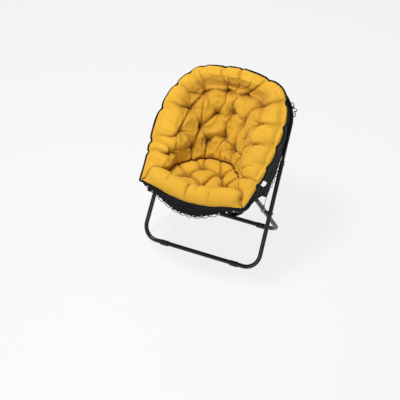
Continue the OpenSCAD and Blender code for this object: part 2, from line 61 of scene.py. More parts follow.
# ---------------------------------------------------------------- tables of the bucket, right half, back to corner, in mm
SEAM = [[0, 270, 398], [40, 267, 398], [90, 252, 398], [148, 214, 397], [200, 148, 397], [238, 68, 400], [256, 0, 414], [270, -70, 438]]
LOW = [[0, 334, 492], [50, 330, 492], [101, 306, 490], [158, 255, 488], [201, 166, 470], [229, 80, 448], [248, 4, 440], [269, -74, 444]]
HIGH = [[0, 478, 704], [59, 468, 706], [152, 417, 707], [208, 320, 658], [227, 210, 592], [240, 96, 506], [260, 10, 470], [273, -78, 447]]
CREST = [[0, 489, 805], [95, 482, 803], [219, 448, 787], [293, 341, 722], [310, 203, 640], [296, 83, 550], [280, 4, 492], [274, -80, 447]]
PIPE = [[0, 508, 804], [98, 501, 801], [228, 464, 784], [310, 350, 716], [328, 206, 632], [312, 84, 543], [295, 4, 488], [279, -82, 446]]
SEAM_OUT = [[0, 318, 372], [40, 318, 372], [90, 300, 372], [160, 256, 376], [256, 156, 392], [260, 74, 408], [264, 4, 424], [271, -72, 436]]
LOW_OUT = [[0, 386, 470], [50, 382, 470], [110, 356, 470], [200, 300, 476], [276, 176, 486], [270, 90, 452], [268, 14, 447], [276, -76, 440]]
HIGH_OUT = [[0, 505, 690], [56, 501, 690], [160, 460, 690], [262, 380, 650], [287, 215, 590], [288, 100, 500], [276, 12, 462], [279, -82, 441]]
FRONT = [[0, -116, 412], [60, -114, 414], [120, -108, 422], [180, -101, 435], [230, -95, 443], [272, -86, 446]]
HEM = [[0, -143, 350], [60, -140, 354], [120, -129, 376], [180, -111, 398], [230, -97, 420], [268, -86, 438]]
PANEL_LOW = [[287, -80, 434], [296, 28, 432], [296, 98, 405], [296, 152, 356], [296, 214, 398], [297, 262, 422], [297, 291, 458], [297, 334, 497], [298, 392, 578], [299, 428, 646], [288, 469, 697]]


def cr4(a, b, c, d, t):
    return 0.5 * (2 * b + (c - a) * t + (2 * a - 5 * b + 4 * c - d) * t * t + (3 * b - a - 3 * c + d) * t ** 3)


def at(tab, u):
    tab = np.asarray(tab, float)
    n = len(tab) - 1
    u = np.clip(np.asarray(u, float), 0, 1) * n
    i = np.minimum(np.floor(u).astype(int), n - 1)
    return cr4(tab[np.maximum(i - 1, 0)], tab[i], tab[i + 1], tab[np.minimum(i + 2, n)], (u - i)[..., None])


def lin(tab, u):
    tab = np.asarray(tab, float)
    n = len(tab) - 1
    u = np.clip(np.asarray(u, float), 0, 1) * n
    i = np.minimum(np.floor(u).astype(int), n - 1)
    return tab[i] + (tab[i + 1] - tab[i]) * (u - i)[..., None]


def wrap(tab, w):
    p = at(tab, np.abs(w))
    p[..., 0] *= np.where(np.asarray(w) < 0, -1, 1)
    return p


def loft(lines, s):
    """Catmull-Rom through a list of (..., 3) arrays at position s, from 0 to len - 1."""
    P = np.stack(lines, 0)
    n = len(lines) - 1
    s = np.clip(s, 0, n)
    i = np.minimum(np.floor(s).astype(int), n - 1)
    t = (s - i)[..., None]
    g = lambda k: np.take_along_axis(P, np.clip(k, 0, n)[None, ..., None], 0)[0]
    return cr4(g(i - 1), g(i), g(i + 1), g(i + 2), t)


def back_base(w, s):
    w, s = np.broadcast_arrays(np.asarray(w, float), np.asarray(s, float))
    p = loft([wrap(t, w) for t in (SEAM, LOW, HIGH, CREST, PIPE)], s)
    # The right half of the top edge stands a little higher than the left, as soft goods do
    up = np.clip((s - 2.0) / 1.0, 0, 1) ** 1.5
    lift = np.interp(w, [-0.62, -0.48, -0.34, -0.16, 0.02, 0.13, 0.22, 0.34, 0.45], [0, 3, 6, 8, 12, 10, 8, 6, 0])
    p[..., 1] += 0.4 * lift * up
    p[..., 2] += lift * up
    p[..., 0] += np.interp(w, [0.18, 0.27, 0.36, 0.46], [0, 4, 4, 0]) * up
    return p


def normals(P):
    du = np.gradient(P, axis=0)
    dv = np.gradient(P, axis=1)
    n = np.cross(du, dv)
    return n / (np.linalg.norm(n, axis=-1, keepdims=True) + 1e-12)


def smooth_field(F, k):
    for _ in range(k):
        G = np.pad(F, [(1, 1), (1, 1)] + [(0, 0)] * (F.ndim - 2), mode="edge")
        F = 0.5 * F + 0.125 * (G[2:, 1:-1] + G[:-2, 1:-1] + G[1:-1, 2:] + G[1:-1, :-2])
    return F


def near(P, Q):
    """Distance of each point in P (..., 3) to the nearest of Q (k, 3)."""
    flat = P.reshape(-1, 3).astype(np.float32)
    Q = np.asarray(Q, np.float32)
    out = np.empty(len(flat), np.float32)
    for k in range(0, len(flat), 4000):
        out[k:k + 4000] = np.sqrt(((flat[k:k + 4000, None] - Q[None]) ** 2).sum(-1)).min(1)
    return out.reshape(P.shape[:-1]).astype(float)


def dome(d, r):
    """0 at a pinched line, 1 at distance r and beyond, round like a stuffed lobe."""
    x = np.clip(d / r, 0, 1)
    return np.sqrt(np.clip(1 - (1 - x) ** 2, 0, 1))


# ---------------------------------------------------------------- meshes
def make(name, verts, faces, mats=(), index=None, uv=None):
    me = bpy.data.meshes.new(name)
    me.from_pydata([tuple(v) for v in np.asarray(verts, float)], [], [tuple(int(i) for i in f) for f in faces])
    for m in mats:
        me.materials.append(m)
    if index is not None:
        me.polygons.foreach_set("material_index", np.asarray(index, np.int32))
    me.polygons.foreach_set("use_smooth", np.ones(len(me.polygons), bool))
    if uv is not None:
        layer = me.uv_layers.new(name="UVMap")
        loops = np.zeros(len(me.loops), np.int32)
        me.loops.foreach_get("vertex_index", loops)
        layer.data.foreach_set("uv", np.asarray(uv, np.float32)[loops].ravel())
    me.validate()
    me.update()
    o = bpy.data.objects.new(name, me)
    bpy.context.scene.collection.objects.link(o)
    return o


def grid_faces(n, m, off=0, flip=False):
    i, j = np.meshgrid(np.arange(n - 1), np.arange(m - 1), indexing="ij")
    a = off + i * m + j
    f = np.stack([a, a + m, a + m + 1, a + 1], -1).reshape(-1, 4)
    return f[:, ::-1] if flip else f


def arc_uv(P):
    """UVs in metres of cloth, measured along the middle of the grid."""
    n, m = P.shape[:2]
    u = np.r_[0, np.cumsum(np.linalg.norm(np.diff(P[:, m // 2], axis=0), axis=1))]
    v = np.r_[0, np.cumsum(np.linalg.norm(np.diff(P[n // 2], axis=0), axis=1))]
    U, V = np.meshgrid(u, v, indexing="ij")
    return np.stack([U, V], -1).reshape(-1, 2)


def simulate(P, rest, pin, frames=18, pressure=4.0, bend=0.05, cap=None, stiff=8.0, quality=5, toward=None):
    """Cloth run on an open grid of metres, blown up toward the given side. Returns the settled grid."""
    n, m = P.shape[:2]
    g0 = normals(P)[n // 2, m // 3]
    flip = toward is not None and (g0 @ toward[n // 2, m // 3]) < 0
    o = make("_sim", P.reshape(-1, 3), grid_faces(n, m, 0, flip))
    g = o.vertex_groups.new(name="pin")
    flat = np.round(np.clip(pin.reshape(-1), 0, 1), 2)
    for value in np.unique(flat[flat > 0]):
        g.add([int(k) for k in np.nonzero(flat == value)[0]], float(value), "REPLACE")
    o.shape_key_add(name="Basis")
    key = o.shape_key_add(name="rest")
    key.data.foreach_set("co", rest.reshape(-1).astype(np.float32))
    key.value = 0
    md = o.modifiers.new("Cloth", "CLOTH")
    s = md.settings
    s.quality = quality
    s.mass = 0.002
    s.air_damping = 2
    s.tension_stiffness = s.compression_stiffness = stiff
    s.shear_stiffness = stiff * 0.5
    s.bending_stiffness = bend
    s.tension_damping = s.compression_damping = 5
    s.bending_damping = 0.5
    s.use_pressure = True
    s.uniform_pressure_force = pressure
    s.vertex_group_mass = "pin"
    s.pin_stiffness = 1.0
    s.rest_shape_key = key
    s.effector_weights.gravity = 0
    md.collision_settings.use_collision = False
    md.collision_settings.use_self_collision = False
    scene = bpy.context.scene
    scene.frame_start, scene.frame_end = 1, frames
    md.point_cache.frame_start, md.point_cache.frame_end = 1, frames
    for k in range(1, frames + 1):
        scene.frame_set(k)
    got = o.evaluated_get(bpy.context.evaluated_depsgraph_get())
    co = np.zeros(n * m * 3, np.float32)
    got.data.vertices.foreach_get("co", co)
    scene.frame_set(1)
    bpy.data.objects.remove(o, do_unlink=True)
    Q = co.reshape(n, m, 3).astype(float)
    d = Q - P
    L = np.linalg.norm(d, axis=-1, keepdims=True)
    print("cloth moved by mm: mean %.1f, 99%% %.1f, most %.1f" % (L.mean() * 1e3, np.percentile(L, 99) * 1e3, L.max() * 1e3))
    if cap:
        d *= cap * np.tanh(L / cap) / np.maximum(L, 1e-9)
    return P + d


def closed(name, F, K, mats, toward, deep):
    """A closed cushion: fine front grid F and back grid K of half its resolution, joined along the border."""
    n, m = F.shape[:2]
    kn, km = K.shape[:2]
    idx = np.arange(n * m).reshape(n, m)
    back = idx[::2, ::2].copy()
    back[1:-1, 1:-1] = n * m + np.arange((kn - 2) * (km - 2)).reshape(kn - 2, km - 2)
    verts = np.concatenate([F.reshape(-1, 3), K[1:-1, 1:-1].reshape(-1, 3)])
    front = grid_faces(n, m)
    rear = np.stack([back[:-1, :-1], back[:-1, 1:], back[1:, 1:], back[1:, :-1]], -1).reshape(-1, 4)
    ring = np.r_[idx[0, :], idx[1:, -1], idx[-1, -2::-1], idx[-2:0:-1, 0]]
    tri = np.array([(ring[k], ring[(k + 1) % len(ring)], ring[(k + 2) % len(ring)]) for k in range(0, len(ring), 2)])
    if (normals(F)[n // 2, m // 3] @ toward) < 0:
        front, rear, tri = front[:, ::-1], rear[:, ::-1], tri[:, ::-1]
    faces = [tuple(f) for f in front] + [tuple(f) for f in rear] + [tuple(f) for f in tri]
    uvf = arc_uv(F)
    uv = np.concatenate([uvf, uvf.reshape(n, m, 2)[::2, ::2][1:-1, 1:-1].reshape(-1, 2)])
    o = make(name, verts, faces, mats, np.r_[np.zeros(len(front)), np.ones(len(rear) + len(tri))], uv)
    # The 'crease' attribute carries painted shade for the front cloth's colour; the back grid gets none
    layer = o.data.attributes.new("crease", "FLOAT", "POINT")
    layer.data.foreach_set("value", np.r_[deep.reshape(-1), np.zeros(len(verts) - n * m)].astype(np.float32))
    return o


def slab(name, P, thick, mats, flip=False):
    """A sheet of cloth of real thickness from a grid in metres."""
    n, m = P.shape[:2]
    N = normals(P) * (-1 if flip else 1)
    Q = P - N * thick
    k = n * m
    f = [grid_faces(n, m, 0, flip), grid_faces(n, m, k, not flip)]
    ring = np.r_[np.arange(m), np.arange(1, n) * m + m - 1, (n - 1) * m + np.arange(m - 2, -1, -1), np.arange(n - 2, 0, -1) * m]
    r2 = np.roll(ring, -1)
    w = np.stack([ring, r2, r2 + k, ring + k], -1)
    f.append(w if flip else w[:, ::-1])
    uv = arc_uv(P)
    return make(name, np.concatenate([P.reshape(-1, 3), Q.reshape(-1, 3)]), np.concatenate(f), mats, None, np.concatenate([uv, uv]))


def tube(name, pts, r, mats, sides=10, taper=None):
    """A round cord as a mesh along points in metres."""
    p = np.asarray(pts, float)
    t = np.gradient(p, axis=0)
    t /= np.linalg.norm(t, axis=1, keepdims=True) + 1e-12
    u = np.cross(t[0], [0.3, 0.2, 1.0])
    u /= np.linalg.norm(u)
    rings = []
    for i in range(len(p)):
        u = u - t[i] * (u @ t[i])
        u /= np.linalg.norm(u)
        v = np.cross(t[i], u)
        rr = r if taper is None else r * taper[i]
        rings.append([p[i] + rr * (math.cos(a) * u + math.sin(a) * v) for a in np.linspace(0, 2 * math.pi, sides, endpoint=False)])
    n = len(p)
    verts = np.array(rings).reshape(-1, 3)
    faces = []
    for i in range(n - 1):
        for k in range(sides):
            faces.append((i * sides + k, i * sides + (k + 1) % sides, (i + 1) * sides + (k + 1) % sides, (i + 1) * sides + k))
    faces.append(tuple(range(sides))[::-1])
    faces.append(tuple((n - 1) * sides + k for k in range(sides)))
    L = np.r_[0, np.cumsum(np.linalg.norm(np.diff(p, axis=0), axis=1))]
    uv = np.array([[L[i], 2 * math.pi * r * k / sides] for i in range(n) for k in range(sides)])
    return make(name, verts, faces, mats, None, uv)


def spline(ctrl, n):
    """n points along a Catmull-Rom route through control points, evenly spaced."""
    c = np.asarray(ctrl, float)
    q = at(c, np.linspace(0, 1, max(400, n * 4)))
    L = np.r_[0, np.cumsum(np.linalg.norm(np.diff(q, axis=0), axis=1))]
    x = np.linspace(0, L[-1], n)
    return np.stack([np.interp(x, L, q[:, k]) for k in range(3)], 1), L[-1]


def join(name, objs):
    vs, fs, uvs, off, mats, idx = [], [], [], 0, [], []
    for o in objs:
        me = o.data
        co = np.zeros(len(me.vertices) * 3, np.float32)
        me.vertices.foreach_get("co", co)
        vs.append(co.reshape(-1, 3))
        uvl = np.zeros((len(me.vertices), 2), np.float32)
        if me.uv_layers:
            lv = np.zeros(len(me.loops), np.int32)
            me.loops.foreach_get("vertex_index", lv)
            lu = np.zeros(len(me.loops) * 2, np.float32)
            me.uv_layers[0].data.foreach_get("uv", lu)
            uvl[lv] = lu.reshape(-1, 2)
        uvs.append(uvl)
        base = len(mats)
        for m in me.materials:
            mats.append(m)
        for p in me.polygons:
            fs.append([off + v for v in p.vertices])
            idx.append(base + p.material_index)
        off += len(me.vertices)
    unique = []
    for m in mats:
        if m not in unique:
            unique.append(m)
    idx = [unique.index(mats[i]) for i in idx]
    for o in objs:
        bpy.data.objects.remove(o, do_unlink=True)
    return make(name, np.concatenate(vs), fs, unique, idx, np.concatenate(uvs))


# ---------------------------------------------------------------- materials
def node_material(name):
    m = bpy.data.materials.new(name)
    m.use_nodes = True
    t = m.node_tree
    b = t.nodes["Principled BSDF"]
    return m, t, b


def add(t, kind, **values):
    n = t.nodes.new(kind)
    for k, v in values.items():
        if k in n.inputs:
            n.inputs[k].default_value = v
        else:
            setattr(n, k, v)
    return n


def ramp(t, stops):
    n = t.nodes.new("ShaderNodeValToRGB")
    e = n.color_ramp.elements
    while len(e) > 1:
        e.remove(e[-1])
    e[0].position, e[0].color = stops[0]
    for pos, col in stops[1:]:
        x = e.new(pos)
        x.color = col
    return n


def fabric(name, base, dark, light, thread, sheen, rough, bump, mottle=9.0, fuzz=0.35, sheen_tint=(1, 1, 1, 1), painted_shade=None):
    """Plain weave from UVs in metres, with slub, mottling and lint, and, when a shade colour is given, painted shade
    darkened in from the 'crease' attribute.
    """
    m, t, b = node_material(name)
    L = t.links.new
    uv = add(t, "ShaderNodeUVMap", uv_map="UVMap")
    obj = add(t, "ShaderNodeTexCoord")
    wx = add(t, "ShaderNodeTexWave", wave_type="BANDS", bands_direction="X", Scale=math.pi / 10 / thread, Distortion=0.6)
    wx.inputs["Detail"].default_value = 2
    wx.inputs["Detail Scale"].default_value = 1.5
    wy = add(t, "ShaderNodeTexWave", wave_type="BANDS", bands_direction="Y", Scale=math.pi / 10 / thread, Distortion=0.6)
    wy.inputs["Detail"].default_value = 2
    wy.inputs["Detail Scale"].default_value = 1.5
    L(uv.outputs["UV"], wx.inputs["Vector"])
    L(uv.outputs["UV"], wy.inputs["Vector"])
    weave = add(t, "ShaderNodeMath", operation="MULTIPLY")
    L(wx.outputs["Fac"], weave.inputs[0])
    L(wy.outputs["Fac"], weave.inputs[1])
    big = add(t, "ShaderNodeTexNoise", Scale=mottle, Detail=4.0, Roughness=0.6)
    L(obj.outputs["Object"], big.inputs["Vector"])
    lint = add(t, "ShaderNodeTexNoise", Scale=420.0, Detail=3.0, Roughness=0.7)
    L(obj.outputs["Object"], lint.inputs["Vector"])
    tone = ramp(t, [(0.28, (*dark, 1)), (0.52, (*base, 1)), (0.78, (*light, 1))])
    L(big.outputs["Fac"], tone.inputs["Fac"])
    mix = add(t, "ShaderNodeMix", data_type="RGBA", blend_type="MULTIPLY")
    mix.inputs["Factor"].default_value = 0.30
    shade = ramp(t, [(0.0, (0.62, 0.62, 0.62, 1)), (0.6, (1, 1, 1, 1))])
    L(weave.outputs[0], shade.inputs["Fac"])
    L(tone.outputs["Color"], mix.inputs["A"])
    L(shade.outputs["Color"], mix.inputs["B"])
    mix2 = add(t, "ShaderNodeMix", data_type="RGBA", blend_type="OVERLAY")
    mix2.inputs["Factor"].default_value = 0.12 * fuzz / 0.35
    L(mix.outputs["Result"], mix2.inputs["A"])
    L(lint.outputs["Color"], mix2.inputs["B"])
    # Painted shade: the 'crease' attribute darkens the cloth towards the given shade colour by the given share, at
    # creases, tufts, pleats, under the top roll and over the inner back
    if painted_shade is None:
        L(mix2.outputs["Result"], b.inputs["Base Color"])
    else:
        at_ = add(t, "ShaderNodeAttribute", attribute_name="crease")
        part = add(t, "ShaderNodeMath", operation="MULTIPLY")
        part.inputs[1].default_value = painted_shade[3]
        L(at_.outputs["Fac"], part.inputs[0])
        mix3 = add(t, "ShaderNodeMix", data_type="RGBA", blend_type="MULTIPLY")
        L(part.outputs[0], mix3.inputs["Factor"])
        L(mix2.outputs["Result"], mix3.inputs["A"])
        mix3.inputs["B"].default_value = (*painted_shade[:3], 1)
        # Painted shadow: where 'crease' goes above 1, along the line where the two cushions meet, the cloth is darkened
        # further to dark brown
        meeting_shade = add(t, "ShaderNodeMath", operation="SUBTRACT")
        meeting_shade.inputs[1].default_value = 1.0
        L(at_.outputs["Fac"], meeting_shade.inputs[0])
        mix4 = add(t, "ShaderNodeMix", data_type="RGBA", blend_type="MULTIPLY")
        L(meeting_shade.outputs[0], mix4.inputs["Factor"])
        L(mix3.outputs["Result"], mix4.inputs["A"])
        mix4.inputs["B"].default_value = (0.16, 0.11, 0.06, 1)
        L(mix4.outputs["Result"], b.inputs["Base Color"])
    rr = add(t, "ShaderNodeMapRange")
    rr.inputs["To Min"].default_value = rough - 0.08
    rr.inputs["To Max"].default_value = min(1.0, rough + 0.08)
    L(lint.outputs["Fac"], rr.inputs["Value"])
    L(rr.outputs["Result"], b.inputs["Roughness"])
    hsum = add(t, "ShaderNodeMath", operation="MULTIPLY_ADD")
    hsum.inputs[1].default_value = fuzz
    L(lint.outputs["Fac"], hsum.inputs[0])
    L(weave.outputs[0], hsum.inputs[2])
    bm = add(t, "ShaderNodeBump", Strength=bump, Distance=0.0006)
    L(hsum.outputs[0], bm.inputs["Height"])
    L(bm.outputs["Normal"], b.inputs["Normal"])
    b.inputs["Sheen Weight"].default_value = sheen
    b.inputs["Sheen Roughness"].default_value = 0.45
    b.inputs["Sheen Tint"].default_value = sheen_tint
    b.inputs["Specular IOR Level"].default_value = 0.25 if base[0] > 0.1 else 0.10
    return m


def coat(name, base, worn, rough, metallic=0.0, grain=900.0, bump=0.12, clear=0.0, scratches=0.5):
    """Powder coat, plated metal or moulded plastic: fine texture, mottled gloss and rubbed spots."""
    m, t, b = node_material(name)
    L = t.links.new
    obj = add(t, "ShaderNodeTexCoord")
    fine = add(t, "ShaderNodeTexNoise", Scale=grain, Detail=3.0, Roughness=0.65)
    L(obj.outputs["Object"], fine.inputs["Vector"])
    broad = add(t, "ShaderNodeTexNoise", Scale=14.0, Detail=5.0, Roughness=0.6)
    L(obj.outputs["Object"], broad.inputs["Vector"])
    wear = ramp(t, [(0.60, (0, 0, 0, 1)), (0.74, (1, 1, 1, 1))])
    L(broad.outputs["Fac"], wear.inputs["Fac"])
    mix = add(t, "ShaderNodeMix", data_type="RGBA")
    mix.inputs["A"].default_value = (*base, 1)
    mix.inputs["B"].default_value = (*worn, 1)
    part = add(t, "ShaderNodeMath", operation="MULTIPLY")
    part.inputs[1].default_value = scratches
    L(wear.outputs["Color"], part.inputs[0])
    L(part.outputs[0], mix.inputs["Factor"])
    L(mix.outputs["Result"], b.inputs["Base Color"])
    rr = add(t, "ShaderNodeMapRange")
    rr.inputs["From Min"].default_value = 0.3
    rr.inputs["From Max"].default_value = 0.7
    rr.inputs["To Min"].default_value = max(0.05, rough - 0.08)
    rr.inputs["To Max"].default_value = rough + 0.10
    L(broad.outputs["Fac"], rr.inputs["Value"])
    L(rr.outputs["Result"], b.inputs["Roughness"])
    bm = add(t, "ShaderNodeBump", Strength=bump, Distance=0.0003)
    L(fine.outputs["Fac"], bm.inputs["Height"])
    L(bm.outputs["Normal"], b.inputs["Normal"])
    b.inputs["Metallic"].default_value = metallic
    b.inputs["Specular IOR Level"].default_value = 0.5 if metallic or base[0] > 0.02 else 0.30
    if clear:
        b.inputs["Coat Weight"].default_value = clear
        b.inputs["Coat Roughness"].default_value = 0.25
    return m


# The mustard cloth's last argument is its painted shade: a colour and a share by which the 'crease' attribute darkens
# it
YELLOW = fabric("mustard_cloth", (0.640, 0.346, 0.022), (0.590, 0.312, 0.017), (0.690, 0.380, 0.028), 0.0009, 0.10, 0.78, 0.35, mottle=7.0, sheen_tint=(1.0, 0.92, 0.72, 1), painted_shade=(0.36, 0.21, 0.06, 0.72))
BLACK = fabric("black_oxford", (0.0065, 0.0067, 0.0078), (0.0045, 0.0047, 0.0055), (0.010, 0.0102, 0.0115), 0.0011, 0.03, 0.66, 0.45, mottle=12.0, fuzz=0.25)
PIPING = fabric("black_bias_tape", (0.0055, 0.0055, 0.0062), (0.004, 0.004, 0.0045), (0.009, 0.009, 0.0096), 0.0007, 0.03, 0.62, 0.4, mottle=30.0)
ELASTIC = fabric("elastic_cord", (0.022, 0.022, 0.024), (0.012, 0.012, 0.013), (0.055, 0.055, 0.06), 0.0006, 0.15, 0.6, 0.6, mottle=60.0)
TIE = fabric("black_tie_cord", (0.008, 0.008, 0.009), (0.005, 0.005, 0.006), (0.014, 0.014, 0.015), 0.0006, 0.04, 0.65, 0.6, mottle=60.0)
GREYCORD = fabric("grey_cord", (0.30, 0.30, 0.31), (0.20, 0.20, 0.21), (0.42, 0.42, 0.43), 0.0006, 0.15, 0.6, 0.6, mottle=60.0)
WHITE = fabric("white_ribbon", (0.80, 0.80, 0.78), (0.74, 0.74, 0.72), (0.84, 0.84, 0.83), 0.0008, 0.10, 0.7, 0.3, mottle=30.0)
THREAD_Y = fabric("yellow_thread", (0.74, 0.38, 0.05), (0.62, 0.31, 0.04), (0.80, 0.44, 0.07), 0.0005, 0.2, 0.7, 0.3, mottle=60.0)
TUBE = coat("charcoal_powder_coat", (0.0095, 0.0098, 0.0105), (0.018, 0.0185, 0.0195), 0.31, grain=1100.0, bump=0.16, clear=0.12)
HOOP = coat("charcoal_powder_coat_hoop", (0.0085, 0.0088, 0.0095), (0.016, 0.0165, 0.0175), 0.33, grain=1100.0, bump=0.16, clear=0.12)
PLASTIC = coat("black_moulded_plastic", (0.012, 0.012, 0.013), (0.028, 0.028, 0.029), 0.52, grain=1500.0, bump=0.25)
STEEL = coat("blackened_steel", (0.16, 0.16, 0.17), (0.30, 0.30, 0.31), 0.34, metallic=0.9, grain=1800.0, bump=0.1)
NICKEL = coat("satin_nickel", (0.86, 0.86, 0.87), (0.62, 0.61, 0.60), 0.38, metallic=0.7, grain=1600.0, bump=0.1)
CLIP = coat("grey_clip_plastic", (0.52, 0.52, 0.53), (0.60, 0.60, 0.61), 0.45, grain=1300.0, bump=0.2)

# ---------------------------------------------------------------- the wrapped back cushion
# Places on the wrap are (position round the bucket, level): level 0 is the seam, 2 the outer tufts, 3 the roll's crest, 4 the piping
RING = [(-0.71, 1.95), (-0.59, 1.99), (-0.443, 1.97), (-0.307, 2.01), (-0.142, 1.98), (0.145, 2.03), (0.32, 2.07), (0.452, 2.10), (0.578, 2.06), (0.71, 1.97)]
INNER = [(-0.21, 1.52), (-0.375, 1.37), (0.02, 1.57), (0.24, 1.50), (-0.022, 1.09), (-0.287, 1.0), (-0.473, 1.01), (0.24, 0.90), (0.385, 1.38), (0.49, 1.02)]
# Creases as (half width in mm, depth share, places)
R_, I_ = RING, INNER
CREASES = [
    (30, 0.45, [R_[0], R_[1]]), (28, 0.50, [R_[1], R_[2]]), (26, 0.78, [R_[2], (-0.38, 1.96), R_[3]]), (34, 0.60, [R_[3], R_[4]]),
    (30, 0.85, [R_[4], (-0.06, 1.92), (0.097, 1.96), R_[5]]), (30, 0.60, [R_[5], R_[6]]), (28, 0.50, [R_[6], R_[7]]), (28, 0.50, [R_[7], R_[8]]), (30, 0.45, [R_[8], R_[9]]),
    (20, 0.62, [I_[1], (-0.295, 1.44), I_[0]]), (13, 0.50, [I_[1], (-0.367, 1.63), (-0.34, 1.82), R_[3]]), (12, 0.30, [I_[0], (-0.287, 1.71), R_[3]]),
    (12, 0.32, [I_[0], (-0.157, 1.71), (-0.155, 1.93)]), (15, 0.62, [I_[2], (-0.025, 1.71), (0.025, 1.87), R_[5]]), (18, 0.66, [I_[2], (-0.052, 1.34), I_[4]]),
    (14, 0.45, [I_[3], (0.165, 1.53), (0.085, 1.57)]), (12, 0.36, [I_[3], (0.20, 1.69), R_[5]]), (13, 0.50, [I_[5], (-0.245, 1.08), (-0.172, 1.11), (-0.065, 1.10)]),
    (17, 0.60, [I_[5], (-0.307, 0.66), (-0.292, 0.0)]), (17, 0.60, [I_[6], (-0.473, 0.55), (-0.473, 0.0)]), (15, 0.55, [I_[6], (-0.432, 1.24), I_[1]]),
    (13, 0.45, [I_[5], (-0.358, 1.25)]), (15, 0.40, [I_[4], (0.107, 0.99), I_[7]]), (17, 0.50, [I_[7], (0.255, 0.42), (0.262, 0.0)]),
    (20, 0.62, [R_[6], I_[3], (0.232, 1.27), I_[7]]), (18, 0.50, [R_[8], (0.43, 1.02), (0.375, 0.37), (0.36, 0.0)]), (22, 0.30, [I_[0], (-0.09, 1.45), I_[2]]),
    (16, 0.40, [R_[2], I_[1]]), (14, 0.34, [R_[1], I_[6]]), (14, 0.34, [R_[0], (-0.60, 1.3), I_[6]]), (18, 0.35, [R_[0], (-0.62, 1.0), (-0.585, 0.0)]),
    (16, 0.36, [I_[8], I_[3]]), (16, 0.40, [I_[8], R_[7]]), (16, 0.40, [I_[8], I_[9]]), (16, 0.36, [I_[9], I_[7]]), (18, 0.45, [I_[9], (0.49, 0.0)]), (18, 0.42, [R_[9], (0.64, 1.0), (0.585, 0.0)]),
    (22, 0.34, [I_[5], I_[4]]), (12, 0.26, [I_[4], (-0.10, 0.55)]), (14, 0.30, [(-0.02, 0.62), (0.0, 0.0)]), (14, 0.26, [(-0.15, 0.45), (-0.15, 0.0)]), (14, 0.26, [(0.12, 0.45), (0.13, 0.0)]),
    (24, 0.72, [R_[0], (-0.75, 2.49), (-0.777, 4.0)]), (16, 0.45, [R_[0], (-0.70, 2.51), (-0.70, 4.0)]), (20, 0.62, [R_[1], (-0.655, 2.51), (-0.69, 3.4)]),
    (22, 0.68, [R_[2], (-0.492, 2.39), (-0.537, 4.0)]), (10, 0.36, [R_[2], (-0.458, 2.34), (-0.458, 2.73)]), (18, 0.62, [(-0.412, 4.0), (-0.40, 2.39), (-0.34, 2.0)]),
    (16, 0.55, [(-0.333, 4.0), (-0.325, 2.42), R_[3]]), (18, 0.66, [(-0.252, 4.0), (-0.292, 2.43), R_[3]]), (9, 0.34, [(-0.235, 3.0), (-0.28, 2.31)]),
    (20, 0.72, [(-0.135, 4.0), (-0.157, 2.38), R_[4]]), (11, 0.42, [(-0.095, 3.1), (-0.13, 2.25)]), (20, 0.42, [(-0.005, 4.0), (0.015, 2.43), (-0.065, 1.98)]),
    (14, 0.52, [R_[5], (0.12, 2.36), (0.125, 3.05)]), (20, 0.72, [R_[5], (0.18, 2.43), (0.203, 4.0)]), (22, 0.70, [R_[6], (0.352, 2.32), (0.363, 4.0)]),
    (22, 0.66, [R_[7], (0.48, 2.73), (0.48, 4.0)]), (22, 0.62, [R_[8], (0.578, 2.66), (0.573, 4.0)]), (24, 0.66, [R_[9], (0.768, 2.53), (0.802, 4.0)]), (12, 0.30, [R_[9], (0.69, 2.6), (0.675, 3.5)]),
]
NOTCH = [-0.777, -0.70, -0.537, -0.412, -0.333, -0.252, -0.135, -0.005, 0.203, 0.363, 0.48, 0.573, 0.675, 0.802]


def line_on(surface, places, step=8):
    out = []
    for a, b in zip(places[:-1], places[1:]):
        t = np.linspace(0, 1, step)
        out.append(surface(a[0] + (b[0] - a[0]) * t, a[1] + (b[1] - a[1]) * t))
    return np.concatenate(out)


def beside(P, line, reach):
    """Distance of each point to a polyline, worked out only within reach of it."""
    flat = P.reshape(-1, 3)
    d = np.full(len(flat), 1e3)
    box = np.all((flat > line.min(0) - reach) & (flat < line.max(0) + reach), axis=1)
    idx = np.nonzero(box)[0]
    q = flat[idx]
    best = np.full(len(idx), 1e6)
    for a, b in zip(line[:-1], line[1:]):
        v = b - a
        n = v @ v
        if n < 1e-9:
            continue
        t = np.clip(((q - a) @ v) / n, 0, 1)
        best = np.minimum(best, ((q - a - t[:, None] * v) ** 2).sum(1))
    d[idx] = np.sqrt(best)
    return d.reshape(P.shape[:-1])


def pull(P, surface, creases, d_tuft):
    """Share of the stuffing left beside the creases, and how deep in a crease each point is."""
    left, deep = np.ones(P.shape[:2]), np.zeros(P.shape[:2])
    close = np.exp(-d_tuft / 42)
    for r, a, places in creases:
        line = line_on(surface, places)
        d = beside(P, line, 2.4 * r)
        k = np.clip(a * (0.55 + 0.75 * close), 0, 0.95)
        left *= 1 - k * (0.50 * (1 - dome(d, 2.2 * r)) + 0.50 * (1 - dome(d, 0.7 * r)))
        deep = np.maximum(deep, k * (0.55 * np.exp(-(d / (0.22 * r)) ** 2) + 0.45 * np.exp(-(d / (0.6 * r)) ** 2)))
    return left, deep


